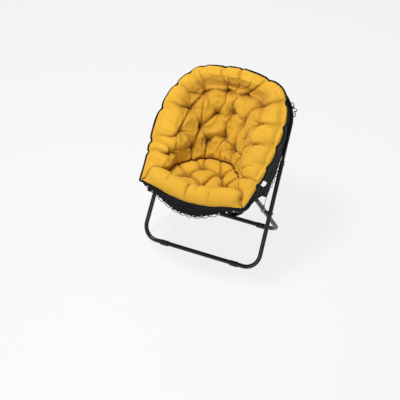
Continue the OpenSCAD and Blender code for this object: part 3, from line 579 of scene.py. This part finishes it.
def pleats(P, surface, tufts, scale, seed, count=(10, 16)):
    """Fine gathers that run out of each tuft."""
    g = np.random.RandomState(seed)
    out = np.zeros(P.shape[:2])
    for w, s in tufts:
        c = surface(np.array([w]), np.array([s]))[0]
        e = 0.01
        tw = surface(np.array([w + e]), np.array([s]))[0] - c
        ts = surface(np.array([w]), np.array([s + e * 4]))[0] - c
        tw /= np.linalg.norm(tw)
        ts -= tw * (ts @ tw)
        ts /= np.linalg.norm(ts)
        q = P - c
        x, y = q @ tw, q @ ts
        rho = np.sqrt((q ** 2).sum(-1))
        for k in range(g.randint(*count)):
            th = g.uniform(0, 2 * math.pi)
            ln = g.uniform(16, 42)
            amp = g.uniform(0.7, 2.1) * scale
            curl = g.uniform(-0.006, 0.006)
            phi = th + curl * rho
            along = x * np.cos(phi) + y * np.sin(phi)
            across = -x * np.sin(phi) + y * np.cos(phi)
            out += amp * np.where(along > 0, np.exp(-rho / ln) * np.clip(rho / 8, 0, 1), 0) * np.exp(-(across / (1.9 + 0.055 * rho)) ** 2)
    return out


def enlarge(D, n, m):
    """Smooth resampling of a coarse field to n by m."""
    for size in (n, m):
        k = D.shape
        D = at(D.reshape(k[0], -1), np.linspace(0, 1, size)).reshape(size, *k[1:])
        D = np.swapaxes(D, 0, 1)
    return D


NW, NS = 641, 181
W1 = np.linspace(-1, 1, NW)
S1 = np.r_[np.linspace(0, 3, 141), np.linspace(3, 4, 41)[1:]]
Wg, Sg = np.meshgrid(W1, S1, indexing="ij")


def wrap_surface(w, s):
    w, s = np.broadcast_arrays(np.asarray(w, float), np.asarray(s, float))
    p = back_base(w, s)
    n = np.minimum(1, sum(np.exp(-((w - k) / 0.016) ** 2) for k in NOTCH))
    inward = back_base(w, 0 * w + 3.0) - back_base(w, 0 * w + 4.0)
    return p + inward * (0.62 * n * np.clip((s - 3) / 1.0, 0, 1) * np.clip((1 - np.abs(w)) / 0.03, 0, 1))[..., None]


base = wrap_surface(Wg, Sg)
nrm = normals(base)
centre = np.array([0.0, 60.0, 700.0])
if (nrm[NW // 2, 40] @ (centre - base[NW // 2, 40])) < 0:
    nrm = -nrm
nrm = smooth_field(nrm, 14)
nrm /= np.linalg.norm(nrm, axis=-1, keepdims=True)
tup = np.gradient(base, axis=1)
tup /= np.linalg.norm(tup, axis=-1, keepdims=True) + 1e-9
points = [back_base(np.array([w]), np.array([s]))[0] for w, s in RING + INNER]
d_tuft = near(base, np.array(points))
d_edge = np.minimum(near(base, wrap_surface(W1, 0 * W1)), near(base, wrap_surface(W1, 0 * W1 + 4)))
left, deep = pull(base, wrap_surface, CREASES, d_tuft)
aw = np.abs(Wg)
side_crown = np.interp(Sg.ravel(), [0, 0.5, 1.2, 1.9, 2.45, 2.8, 3.0, 3.4, 4], [58, 68, 70, 68, 68, 40, 16, 7, 0]).reshape(Sg.shape)
top_crown = np.interp(Sg.ravel(), [0, 0.5, 1.2, 1.9, 2.2, 2.5, 2.8, 3.0, 3.2, 3.5, 4], [50, 64, 68, 56, 36, 40, 38, 22, 11, 5, 0]).reshape(Sg.shape)
top_share = np.interp(Wg, [-0.62, -0.40, 0.30, 0.48], [0, 1, 1, 0])
crown = top_crown * top_share + side_crown * (1 - top_share)
crown += np.interp(Sg.ravel(), [2.7, 3.0, 3.4, 4], [0, 6, 5, 0]).reshape(Sg.shape) * np.interp(Wg, [-0.50, -0.35, 0.35, 0.48], [0.4, 0, 0, 0.8])
n_w = np.minimum(1, sum(np.exp(-((Wg - k) / 0.015) ** 2) for k in NOTCH))
crown *= 1 - 0.80 * n_w * np.clip((Sg - 2.6) / 0.5, 0, 1)
crown *= 1 - 0.72 * np.clip((aw - 0.45) / 0.17, 0, 1) * np.clip(1 - Sg / 1.5, 0, 1)
crown *= np.interp(aw, [0, 0.55, 0.78, 0.92, 1], [1, 1, 1.1, 0.7, 0.08])
puff = crown * (0.25 + 0.75 * dome(d_edge, 46)) * np.clip(d_edge / 6, 0, 1)
puff *= 1 - 0.55 * (1 - dome(d_tuft, 80)) - 0.43 * (1 - dome(d_tuft, 34))
puff *= left
over = np.clip((Sg - 2.02) / 0.22, 0, 1) * np.clip((2.95 - Sg) / 0.55, 0, 1)
pit = 9 * np.exp(-(d_tuft / 11) ** 2) * np.clip(d_edge / 30, 0, 1)
front0 = base + nrm * (puff - pit - 4.0 * np.clip(deep, 0, 1) * np.clip(d_edge / 30, 0, 1))[..., None] - tup * (puff * over * (0.55 - 0.40 * top_share))[..., None]
calm = np.exp(-((aw - 0.67) / 0.13) ** 4) * np.clip((1.35 - Sg) / 0.5, 0, 1)
front0 = front0 + (smooth_field(front0, 30) - front0) * calm[..., None]
front_m = metres(smooth_field(front0, 2))
front_m[:, 0], front_m[:, -1], front_m[0], front_m[-1] = metres(front0[:, 0]), metres(front0[:, -1]), metres(front0[0]), metres(front0[-1])
pin = np.zeros((NW, NS))
pin[d_tuft < 7] = 1
pin[:, 0] = pin[:, -1] = pin[0] = pin[-1] = 1
pin = np.maximum(pin, 0.35 * deep ** 2)
start = front_m[::2, ::2]
mid = start.reshape(-1, 3).mean(0)
settled = simulate(start, mid + (start - mid) * 1.055, pin[::2, ::2], frames=18, pressure=4.0, cap=0.012, toward=nrm[::2, ::2])
fold = pleats(base, wrap_surface, RING + INNER, 3.6, 11)
front = front_m + enlarge(settled - start, NW, NS)
fn = normals(front)
if (fn[NW // 2, 40] @ nrm[NW // 2, 40]) < 0:
    fn = -fn
quiet = np.clip(d_edge / 20, 0, 1)
front -= fn * (fold * quiet * 0.001)[..., None]
front[:, 0], front[:, -1], front[0], front[-1] = front_m[:, 0], front_m[:, -1], front_m[0], front_m[-1]
# Painted shade for the back cushion's cloth: darker at creases, tufts and pleats, in a band under the top roll and over
# the lower inner back
shade_back = np.clip(0.55 * deep + 0.55 * np.exp(-(d_tuft / 9) ** 2) + 0.30 * np.exp(-(d_tuft / 24) ** 2) + 0.09 * fold + 0.58 * top_share * np.exp(-((Sg - 2.38) / 0.30) ** 2) + 0.17 * np.clip((2.4 - Sg) / 0.5, 0, 1) * np.clip((0.62 - aw) / 0.14, 0, 1), 0, 1)

# outer side of the padding, black
Wk, Sk = Wg[::2, ::2], Sg[::2, ::2]


def outer_surface(w, s):
    w, s = np.broadcast_arrays(np.asarray(w, float), np.asarray(s, float))
    return loft([wrap(t, w) for t in (SEAM, SEAM_OUT, LOW_OUT, HIGH_OUT, PIPE)], s)


K = outer_surface(Wk, Sk)
kn = normals(K)
if (kn[len(K) // 2, 40] @ (K[len(K) // 2, 40] - centre)) < 0:
    kn = -kn
d_tk = near(K, np.array([outer_surface(np.array([w]), np.array([min(3.6, s + 0.55)]))[0] for w, s in RING + INNER]))
K = K - kn * (6 * np.exp(-(d_tk / 16) ** 2))[..., None]
back_cushion = closed("back_cushion_padded", front, metres(K), [YELLOW, BLACK], nrm[NW // 2, 40], shade_back)

# ---------------------------------------------------------------- the seat cushion
NQ, NU = 361, 161
Q1 = np.linspace(-1, 1, NQ)
U1 = np.linspace(0, 1, NU)
Qg, Ug = np.meshgrid(Q1, U1, indexing="ij")
Fq, Sq = wrap(FRONT, Qg), wrap(SEAM, Qg)
across = Sq - Fq
run = np.linalg.norm(across[..., :2], axis=-1)
dist = run * Ug
seat = Fq + across * Ug[..., None]
shape = Fq[..., 2] + np.interp(dist.ravel(), [0, 14, 34, 62, 92, 130, 170, 400], [0, 6, 15, 22, 9, -14, -24, -24]).reshape(dist.shape)
low = np.interp(dist.ravel(), [0, 60, 130, 400], [0, 0, 1, 1]).reshape(dist.shape)
shape = shape * (1 - low) + low * np.minimum(shape, 390)
shape += (Sq[..., 2] - shape) * np.clip(1 - (run - dist) / 46, 0, 1) ** 1.5
k = np.clip((run - 20) / 150, 0, 1)
seat[..., 2] = seat[..., 2] * (1 - k) + shape * k
edge_f, edge_s = seat[:, :1].copy(), seat[:, -1:].copy()
seat = smooth_field(seat, 12)
seat[:, :1], seat[:, -1:] = edge_f, edge_s
sn = normals(seat)
if sn[NQ // 2, NU // 2, 2] < 0:
    sn = -sn
sn = smooth_field(sn, 12)
sn /= np.linalg.norm(sn, axis=-1, keepdims=True)


def seat_surface(x, y):
    """Points of the seat's base surface over the given X and Y."""
    x, y = np.atleast_1d(x), np.atleast_1d(y)
    out = []
    for a, b in zip(x, y):
        i = ((seat[..., 0] - a) ** 2 + (seat[..., 1] - b) ** 2).argmin()
        out.append(seat.reshape(-1, 3)[i])
    return np.array(out)


ST = [(-100, 71), (-56, 163), (54, 145), (0, 20), (104, 67)]
SEAT_CREASES = [
    (30, 0.80, [(-262, -10), (-216, 20), (-152, 7), (-85, -16), (-36, -38), (13, -15), (63, 18), (120, 23), (160, 52)]),
    (26, 0.70, [(160, 52), (205, 22), (246, -40), (258, -84)]), (18, 0.55, [(160, 52), (190, 110), (208, 132)]),
    (18, 0.62, [(-140, 46), ST[0], (-62, 61), (-24, 38), ST[3], (12, 68), (18, 107), (32, 138), ST[2], (80, 101), ST[4]]),
    (15, 0.45, [ST[0], ST[1]]), (15, 0.50, [ST[1], (0, 158), ST[2]]), (14, 0.40, [ST[1], (-112, 196), (-140, 218)]), (14, 0.42, [ST[1], (-74, 225), (-66, 262)]),
    (14, 0.42, [ST[2], (14, 228), (6, 268)]), (14, 0.40, [ST[2], (84, 200), (112, 240)]), (14, 0.42, [ST[4], (138, 140), (176, 186)]), (14, 0.40, [ST[4], (150, 60), (160, 52)]),
    (14, 0.40, [ST[0], (-150, 104), (-196, 150)]), (14, 0.40, [ST[0], (-128, 30), (-120, -4)]), (14, 0.38, [ST[3], (-20, -10), (-36, -38)]), (12, 0.32, [ST[4], (92, 40), (84, 20)]),
    (16, 0.60, [(-34, -38), (-30, -80), (-26, -118)]), (12, 0.30, [(92, -60), (98, -112)]), (11, 0.25, [(-150, 4), (-146, -60)]), (12, 0.28, [(14, -14), (18, -60)]),
]
d_st = near(seat, seat_surface([p[0] for p in ST], [p[1] for p in ST]))
d_se = np.minimum(near(seat, wrap(FRONT, Q1)), near(seat, wrap(SEAM, Q1)))
s_left, s_deep = pull(seat, seat_surface, [(r, min(0.95, a * 1.25), p) for r, a, p in SEAT_CREASES], d_st)
sp = np.interp(run, [0, 50, 150, 220], [2, 14, 42, 46]) * np.interp(dist.ravel(), [0, 20, 60, 110], [0.30, 0.58, 0.92, 1]).reshape(dist.shape)
sp *= (0.12 + 0.88 * dome(d_se, np.interp(dist.ravel(), [0, 90, 130], [62, 50, 34]).reshape(dist.shape))) * np.clip(d_se / 8, 0, 1)
sp *= 1 - 0.52 * (1 - dome(d_st, 66)) - 0.46 * (1 - dome(d_st, 30))
sp *= s_left
sp -= (8 * np.exp(-(d_st / 14) ** 2) + 4.0 * np.clip(s_deep, 0, 1)) * np.clip(d_se / 30, 0, 1)
seat0 = metres(seat + sn * sp[..., None])
spin = np.zeros((NQ, NU))
spin[d_st < 6] = 1
spin[:, 0] = spin[:, -1] = spin[0] = spin[-1] = 1
spin = np.maximum(spin, 0.35 * s_deep ** 2)
start = seat0[::2, ::2]
mid = start.reshape(-1, 3).mean(0)
settled = simulate(start, mid + (start - mid) * 1.06, spin[::2, ::2], frames=18, pressure=4.0, cap=0.010, toward=sn[::2, ::2])
seat_top = seat0 + enlarge(settled - start, NQ, NU)
tn = normals(seat_top)
if tn[NQ // 2, NU // 2, 2] < 0:
    tn = -tn


def seat_pleats(tufts, seed):
    g = np.random.RandomState(seed)
    out = np.zeros(seat.shape[:2])
    for a, b in tufts:
        x, y = seat[..., 0] - a, seat[..., 1] - b
        rho = np.sqrt(x ** 2 + y ** 2)
        for k in range(g.randint(10, 15)):
            phi = g.uniform(0, 2 * math.pi) + g.uniform(-0.006, 0.006) * rho
            ln, amp = g.uniform(14, 36), g.uniform(1.6, 4.6)
            along, cross = x * np.cos(phi) + y * np.sin(phi), -x * np.sin(phi) + y * np.cos(phi)
            out += amp * np.where(along > 0, np.exp(-rho / ln) * np.clip(rho / 8, 0, 1), 0) * np.exp(-(cross / (2.0 + 0.06 * rho)) ** 2)
    return out


s_fold = seat_pleats(ST, 23)
seat_top -= tn * (s_fold * np.clip(d_se / 20, 0, 1) * 0.0014)[..., None]
seat_top[:, 0], seat_top[:, -1], seat_top[0], seat_top[-1] = seat0[:, 0], seat0[:, -1], seat0[0], seat0[-1]
# Painted shade for the seat cushion's cloth: darker at creases, tufts and pleats
shade_seat = np.clip(0.8 * s_deep + 0.6 * np.exp(-(d_st / 9) ** 2) + 0.32 * np.exp(-(d_st / 22) ** 2) + 0.10 * s_fold, 0, 1)

# the underside of the seat cushion
under = seat[::2, ::2].copy()
under[..., 2] -= (np.interp(run, [0, 60, 200], [3, 16, 40]) * dome(d_se, 30))[::2, ::2]
seat_cushion = closed("seat_cushion_padded", seat_top, metres(under), [YELLOW, BLACK], sn[NQ // 2, NU // 2], shade_seat)



def press(o, P, shade, Q, reach, strength):
    """Adds to the crease shade where the cloth P comes close to the other cushion's cloth Q."""
    pts = Q.reshape(-1, 3)[::2]
    tree = KDTree(len(pts))
    for k, p in enumerate(pts):
        tree.insert(p, k)
    tree.balance()
    d = np.array([tree.find(p)[2] for p in P.reshape(-1, 3)])
    layer = o.data.attributes["crease"]
    values = np.zeros(len(layer.data), np.float32)
    layer.data.foreach_get("value", values)
    values[:len(d)] = np.maximum(shade.reshape(-1), strength.reshape(-1) * np.exp(-(d / reach) ** 2))
    layer.data.foreach_set("value", values)


# Painted shadow along the line where the two cushions meet: strength 2 in the middle, easing to 1 towards the wings
press(back_cushion, front, shade_back, seat_top[:, 60:], 0.0075, np.interp(aw, [0.52, 0.68], [2.0, 1.0]))
press(seat_cushion, seat_top, shade_seat, front[:, :90], 0.0075, np.interp(np.abs(Qg), [0.52, 0.68], [2.0, 1.0]))

# ---------------------------------------------------------------- piping
pw = np.linspace(-0.992, 0.992, 360)
pipe_out = back_base(pw, 0 * pw + 4.0) - back_base(pw, 0 * pw + 3.0)
pipe_out /= np.linalg.norm(pipe_out, axis=1, keepdims=True)
pipe_line = metres(wrap_surface(pw, 0 * pw + 4.0) + pipe_out * 4.0 + np.stack([0 * pw, 0 * pw, 0.6 + 4.0 * np.interp(pw, [-0.62, -0.40, 0.30, 0.48], [0, 1, 1, 0])], -1))
# the tape turns round each front corner and runs in under the front edge
turn_r = np.array([[281.5, -84.5, 446.0], [281.5, -88.5, 444.5], [279.5, -91.5, 443.0], [275.5, -93.0, 441.5], [269.0, -92.5, 440.5], [261.0, -93.0, 439.5]])
turn_l = turn_r * [-1, 1, 1]
pipe_line, _ = spline(np.concatenate([metres(turn_l[::-1]), pipe_line[2:-2], metres(turn_r)]), 720)
rim_piping = tube("rim_piping_cord", pipe_line, 0.0048, [PIPING], 12)
fw = np.linspace(-0.99, 0.99, 150)
front_pipe = metres(wrap(FRONT, fw) + np.array([0, -2.0, -2.0]))
front_piping = tube("front_piping_cord", front_pipe, 0.0030, [PIPING], 10)

# ---------------------------------------------------------------- covers
wv = np.linspace(-0.43, 0.43, 321)
tv = np.linspace(0.55, 3.93, 100)
Wc, Tc = np.meshgrid(wv, tv, indexing="ij")
cover = loft([wrap(t, Wc) for t in (SEAM, SEAM_OUT, LOW_OUT, HIGH_OUT, PIPE)], Tc)
cn = normals(cover)
if (cn[160, 50] @ (cover[160, 50] - centre)) < 0:
    cn = -cn
wr = 2.2 * np.sin(cover[..., 0] * 0.055 + 0.02 * cover[..., 2]) * np.sin(cover[..., 2] * 0.021 + 1) + 1.6 * np.sin(cover[..., 0] * 0.12 - cover[..., 2] * 0.045)
seam_w = 0.17 + 0.004 * np.sin(Tc * 3)
seam = sum(np.exp(-((Wc - k * seam_w) / 0.0035) ** 2) for k in (-1, 1))
beside_seam = sum(np.exp(-((np.abs(Wc - k * seam_w) - 0.010) / 0.006) ** 2) for k in (-1, 1))
band = np.exp(-((Tc - 3.62) / 0.022) ** 2)
wr = np.maximum(wr, -2.0) + 1.1 * beside_seam * (0.6 + 0.4 * np.sin(Tc * 46)) - 2.2 * seam - 1.8 * band + 0.8 * np.exp(-((Tc - 3.50) / 0.05) ** 2) * np.sin(Wc * 150)
wr += 1.2 * np.sin(Wc * 31 + 2.2 * Tc) * np.clip(2.2 - Tc, 0, 1)
cover = cover + cn * (3.5 + np.maximum(wr, -2.6))[..., None]
cover_m = metres(cover)
back_cover = slab("back_cover_cloth", cover_m, 0.0016, [BLACK], flip=(normals(cover_m)[160, 50] @ cn[160, 50]) < 0)

EYE_U = [0.378, 0.414, 0.477, 0.54, 0.5985, 0.648]


def panel_top(q):
    """The upper edge of a side cover, just under the piping."""
    q = np.asarray(q, float)
    return wrap(PIPE, 0.99 - 0.70 * q) + np.stack([-5.0 + 0 * q, 0 * q, -6.0 + 0 * q], -1)


def panel_grid(s):
    q = np.linspace(0, 1, 241)
    v = np.linspace(0, 1, 71)
    Qp, Vp = np.meshgrid(q, v, indexing="ij")
    a, b = panel_top(Qp), lin(PANEL_LOW, Qp)
    scallop = np.zeros_like(Qp)
    for e0, e1 in zip(EYE_U[:-1], EYE_U[1:]):
        f = (Qp - e0) / (e1 - e0)
        scallop = np.where((f > 0) & (f < 1), np.sin(np.pi * np.clip(f, 0, 1)) * 9, scallop)
    L = np.linalg.norm(b - a, axis=-1)
    P = a + (b - a) * (Vp * (1 - scallop / np.maximum(L, 30)))[..., None]
    soft = np.sin(np.pi * Vp)
    P[..., 0] += 2.0 + soft * (3.0 * np.sin(P[..., 1] * 0.06 + P[..., 2] * 0.03) + 1.6 * np.sin(P[..., 1] * 0.14 - P[..., 2] * 0.05))
    far = (1 - Vp) * L
    P[..., 0] -= 1.3 * np.exp(-((far - 20) / 1.6) ** 2) * np.clip(L / 60, 0, 1) + 0.5 * np.exp(-((far - 27) / 6) ** 2) * np.sin(Qp * 260)
    P[..., 0] *= s
    return P


sides = {}
for s, tag in ((1, "right"), (-1, "left")):
    Pp = metres(panel_grid(s))
    sides[s] = slab("side_cover_cloth_" + tag, Pp, 0.0014, [BLACK], flip=normals(Pp)[120, 35, 0] * s < 0)

NE = 6


def skirt_point(q, v):
    a, b = wrap(FRONT, q), wrap(HEM, q)
    p = a + (b - a) * np.asarray(v)[..., None]
    p[..., 1] -= 2 + 6 * np.sin(np.pi * np.asarray(v))
    return p


eye_q = [k * 37.0 / 272 for k in range(-NE, NE + 1)]
q = np.linspace(-1, 1, 261)
v = np.linspace(0, 1, 41)
Qh, Vh = np.meshgrid(q, v, indexing="ij")
f = (np.abs(Qh) * 272 / 37.0) % 1.0
sc = np.sin(np.pi * f) * np.where(np.abs(Qh) < eye_q[-1], 1, 0)
Lh = np.linalg.norm(wrap(HEM, Qh) - wrap(FRONT, Qh), axis=-1)
hem = skirt_point(Qh, Vh * (1 - sc * np.minimum(0.25, 8 / np.maximum(Lh, 8))))
hem[..., 1] += 1.5 * np.sin(Qh * 60) * Vh + 1.0 * np.sin(Qh * 23 + 4 * Vh) * np.sin(np.pi * Vh) + 1.1 * np.exp(-((Vh - 0.72) / 0.035) ** 2) - 0.5 * np.exp(-((Vh - 0.64) / 0.07) ** 2) * np.sin(Qh * 190)
hem_m = metres(hem)
skirt = slab("front_band_cloth", hem_m, 0.0014, [BLACK], flip=normals(hem_m)[130, 20, 1] > 0)

su = np.linspace(0, 1, 46)
sq = np.linspace(-1, 1, 61)
ROWS = [[-88, 240, 384], [-60, 252, 378], [-20, 250, 362], [30, 240, 348], [80, 226, 342], [130, 204, 340], [175, 170, 342], [215, 130, 346], [244, 76, 352]]
Sq2, Su2 = np.meshgrid(sq, su, indexing="ij")
r = at(ROWS, Su2)
sling = np.stack([Sq2 * r[..., 1], r[..., 0], r[..., 2] - 4 + 10 * np.abs(Sq2) ** 4 + 1.0 * np.sin(Sq2 * 22) * np.sin(Su2 * 17)], -1)
sling_m = metres(sling)
seat_sling = slab("seat_sling_cloth", sling_m, 0.0016, [BLACK], flip=normals(sling_m)[30, 20, 2] < 0)

# ---------------------------------------------------------------- eyelets and lacing
def eyelet(name, p, n, r=0.0048):
    """A domed washer set into the cloth."""
    n = np.asarray(n, float) / np.linalg.norm(n)
    u = np.cross(n, [0.2, 0.3, 1.0])
    u /= np.linalg.norm(u)
    w = np.cross(n, u)
    prof = [(0.56, -0.20), (0.56, 0.12), (0.68, 0.26), (0.84, 0.26), (1.0, 0.06), (1.0, -0.20)]
    k = 24
    verts = [p + r * (a * (math.cos(t) * u + math.sin(t) * w) + b * n) for a, b in prof for t in np.linspace(0, 2 * math.pi, k, endpoint=False)]
    faces = [(i * k + j, i * k + (j + 1) % k, ((i + 1) % 6) * k + (j + 1) % k, ((i + 1) % 6) * k + j) for i in range(6) for j in range(k)]
    return make(name, verts, faces, [NICKEL], None, np.zeros((len(verts), 2)))


front_eyes = []
for k, eq in enumerate(eye_q):
    p = metres(skirt_point(np.array(eq), 0.88) + np.array([0, -1.2, 0]))
    front_eyes.append(p)
fe = join("front_eyelet_rings", [eyelet("e", p, (0, -1, -0.15)) for p in front_eyes])
side_eyes = {}
for s in (1, -1):
    L_ = []
    for u in EYE_U:
        a, b = panel_top(np.array(u)), lin(PANEL_LOW, np.array(u))
        p = a + (b - a) * (1 - 10 / max(np.linalg.norm(b - a), 30))
        p[0] = (p[0] + 3.4) * s
        L_.append(metres(p))
    side_eyes[s] = L_
se = join("side_eyelet_rings", [eyelet("e", p, (s, -0.1, 0.1), 0.0066) for s in (1, -1) for p in side_eyes[s]])


def lace(points, out, down, depth):
    """Cord that dips below the edge between one eyelet and the next."""
    out, down = np.asarray(out, float), np.asarray(down, float)
    pts = []
    for a, b in zip(points[:-1], points[1:]):
        pts += [a - out * 0.003, a + out * 0.002, a + (b - a) * 0.18 + out * 0.004 + down * depth * 0.6, a + (b - a) * 0.5 + out * 0.002 + down * depth,
                a + (b - a) * 0.82 - out * 0.003 + down * depth * 0.6, b - out * 0.004]
    return pts


pts, _ = spline(lace(front_eyes, (0, -1, 0), (0, 0.15, -1), 0.010), 420)
front_lacing = tube("front_lacing_cord", pts, 0.0017, [ELASTIC], 8)
sl = []
for s in (1, -1):
    pts, _ = spline(lace(side_eyes[s], (s, 0, 0), (0, 0.55, -0.8), 0.014), 170)
    sl.append(tube("l", pts, 0.0015, [ELASTIC], 8))
side_lacing = join("side_lacing_cord", sl)

# loops over the back hoop
FL, TW = math.radians(34.6), 16 / 2
loops = []
for k, x in enumerate(range(-105, 106, 15)):
    sdist = 928 if abs(x) < 85 else 928 - 10 * (abs(x) - 85) / 215.5
    hoop = np.array([x, sdist * math.sin(FL), 13 + sdist * math.cos(FL)])
    tip = wrap_surface(np.array([x / 98 / 7.0]), np.array([4.0]))[0] + [0, -4, 9 + 3 * math.sin(k * 2.1)]
    axis = (tip - hoop) * [0, 1, 1]
    far = np.linalg.norm(axis)
    axis /= far
    turn = np.array([0, -axis[2], axis[1]])
    mid_, half = hoop + axis * (far - 10.5) / 2, (far + 10.5) / 2
    lean = 5 * math.sin(k * 1.7)
    p = [mid_ + axis * half * math.cos(a) + turn * 10.8 * math.sin(a) + np.array([lean * math.cos(a), 0, 0]) for a in np.linspace(0, 2 * math.pi, 34)]
    loops.append(tube("b", metres(p), 0.0019, [ELASTIC], 8))
back_lacing = join("back_lacing_loops", loops)

# ---------------------------------------------------------------- cords with free ends, straps, tab
straps = []
CS = 345 * math.cos(math.radians(34.6)) / math.sin(math.radians(70.9)) + 46
for s in (1, -1):
    e = np.array([s * (293 - 0.0212 * (CS + 4.5)), 345 - (CS + 4.5) * math.sin(math.radians(36.3)), 13 + (CS + 4.5) * math.cos(math.radians(36.3))]) + 15.6 * np.array([0, math.cos(math.radians(36.3)), math.sin(math.radians(36.3))])
    top = np.array([s * 297.5, 152, 362.0])
    c = [top, top + (e - top) * 0.35 + [0, 3, 0], top + (e - top) * 0.75 + [0, 2, 0], e + [s * 2.0, 0, 3], e + [s * 5, 0, 0], e + [0, 0, -1.5], e - [s * 5, 0, 0]]
    pts, _ = spline(metres(c), 60)
    straps.append(tube("corner_strap_cord_" + ("right" if s > 0 else "left"), pts, 0.0014, [GREYCORD], 10))

RT = [[293, 471, 693], [288, 467, 706], [285, 463, 721], [289, 461, 734], [297, 460, 733], [299, 461, 720], [297, 464, 708], [302, 464, 701], [310, 462, 702], [318, 461, 695], [311, 461, 687], [303, 463, 684], [308, 461, 676], [312, 460, 665], [306, 459, 656], [299, 461, 660], [297, 465, 672]]
pts, rt_len = spline(metres(RT), 110)
right_tie = tube("right_tie_bow", pts, 0.0020, [TIE], 10, 1 + 1.1 * np.exp(-((np.arange(110) - 46) / 4.0) ** 2) + 0.5 * np.exp(-((np.arange(110) - 76) / 4.0) ** 2))
LT = [[-300, 60, 396], [-306, 58, 386], [-310, 58, 372], [-311, 60, 356], [-308, 62, 344], [-302, 62, 340], [-299, 60, 350], [-301, 58, 364], [-302, 57, 380], [-298, 57, 392]]
ptl, lt_len = spline(metres(LT), 80)
left_tie = tube("left_tie_loops", ptl, 0.0015, [GREYCORD], 10)

TX = np.linspace(0, 1, 9)
Ta, Tb = np.meshgrid(TX, TX, indexing="ij")
root = wrap_surface(0.752 + 0.040 * (1 - Ta), 0 * Ta + 4.0)
tabp = root + np.array([23.0, 3.0, -9.0]) * Tb[..., None] + np.stack([0 * Tb, 2.0 * np.sin(Tb * 3), 1.5 * np.sin(Tb * 3) + 3], -1) + [4.0, 0, -1.0]
tab_m = metres(tabp)
tab = slab("blank_tab_ribbon", tab_m, 0.0010, [WHITE], flip=normals(tab_m)[4, 4, 0] < 0)

# ---------------------------------------------------------------- bodies
for o in (back_cushion, seat_cushion, rim_piping, back_cover, sides[1], sides[-1], se, side_lacing, tab, left_tie, seat_sling):
    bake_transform(o)
for o in (back_lacing, right_tie):
    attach(o, A)
for o in (front_piping, skirt, fe, front_lacing, straps[0], straps[1]):
    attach(o, B)
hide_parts("back_cushion", "side_wing_right", "side_wing_left")
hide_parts("seat_cushion")
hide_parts("back_cover")
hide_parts("side_cover_right")
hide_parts("side_cover_left")
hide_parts("front_skirt")
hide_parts("seat_sling")
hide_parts("front_eyelets")
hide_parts("side_eyelets")
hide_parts("front_lacing")
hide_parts("side_lacing")
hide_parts("back_lacing")
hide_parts("rim_piping")
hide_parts("right_tie_cord")
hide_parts("left_tie_cord")
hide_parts("blank_tab")
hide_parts("corner_strap_right")
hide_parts("corner_strap_left")


metres(panel_grid(1))
metres(panel_grid(-1))

# ---------------------------------------------------------------- finishes of the CAD nodes
for n, o in frame["nodes"].items():
    if n in ("front_leg_frame", "rear_leg_frame"):
        m = TUBE
    elif n in ("back_hoop", "seat_hoop"):
        m = HOOP
    elif "bush" in n or "glide" in n or "spacer" in n:
        m = PLASTIC
    elif "bolt" in n or "nut" in n or "screws" in n:
        m = STEEL
    elif "clip" in n:
        m = CLIP
    else:
        continue
    o.data.materials.clear()
    o.data.materials.append(m)

# ---------------------------------------------------------------- studio
me = bpy.data.meshes.new("studio_floor")
me.from_pydata([(-40, -40, 0), (40, -40, 0), (40, 40, 0), (-40, 40, 0)], [], [(0, 1, 2, 3)])
floor = bpy.data.objects.new("studio_floor", me)
bpy.context.scene.collection.objects.link(floor)
fm, ft, fb = node_material("studio_floor_paint")
fb.inputs["Base Color"].default_value = (0.10, 0.10, 0.10, 1)
fb.inputs["Roughness"].default_value = 1.0
fb.inputs["Specular IOR Level"].default_value = 0.0
fb.inputs["Emission Color"].default_value = (1, 1, 1, 1)
fb.inputs["Emission Strength"].default_value = 0.825
me.materials.append(fm)
floor.location.z = -0.0006
floor.visible_diffuse = False

world = bpy.data.worlds.new("studio")
bpy.context.scene.world = world
world.use_nodes = True
world.node_tree.nodes["Background"].inputs["Color"].default_value = (1, 1, 1, 1)
world.node_tree.nodes["Background"].inputs["Strength"].default_value = 0.42


def softbox(name, place, target, size, watts, colour=(1, 1, 1)):
    d = bpy.data.lights.new(name, "AREA")
    d.shape = "RECTANGLE"
    d.size, d.size_y = size
    d.energy = watts
    d.color = colour
    o = bpy.data.objects.new(name, d)
    bpy.context.scene.collection.objects.link(o)
    o.location = place
    o.rotation_euler = (Vector(target) - Vector(place)).to_track_quat("-Z", "Y").to_euler()
    return o


softbox("key", (-0.6, -0.5, 3.15), (0, 0, 0.5), (0.7, 0.7), 80)
softbox("front", (0.35, -2.7, 1.0), (0, 0, 0.45), (1.4, 1.0), 21)

# ---------------------------------------------------------------- camera at the photograph's angle
el, az = math.radians(36.82), math.radians(25.69)
cd = bpy.data.cameras.new("camera")
cam = bpy.data.objects.new("camera", cd)
bpy.context.scene.collection.objects.link(cam)
cd.sensor_width = 36
cd.lens = 135.72
cam.location = Vector(metres([2593.9, -5380.5, 4818.8 + 2.0]))
back = Vector((math.sin(az) * math.cos(el), -math.cos(az) * math.cos(el), math.sin(el)))
cam.rotation_mode = "QUATERNION"
cam.rotation_quaternion = (-back).to_track_quat("-Z", "Y")
cd.clip_start, cd.clip_end = 0.1, 120
bpy.context.scene.camera = cam
bpy.context.scene.view_settings.view_transform = "Standard"
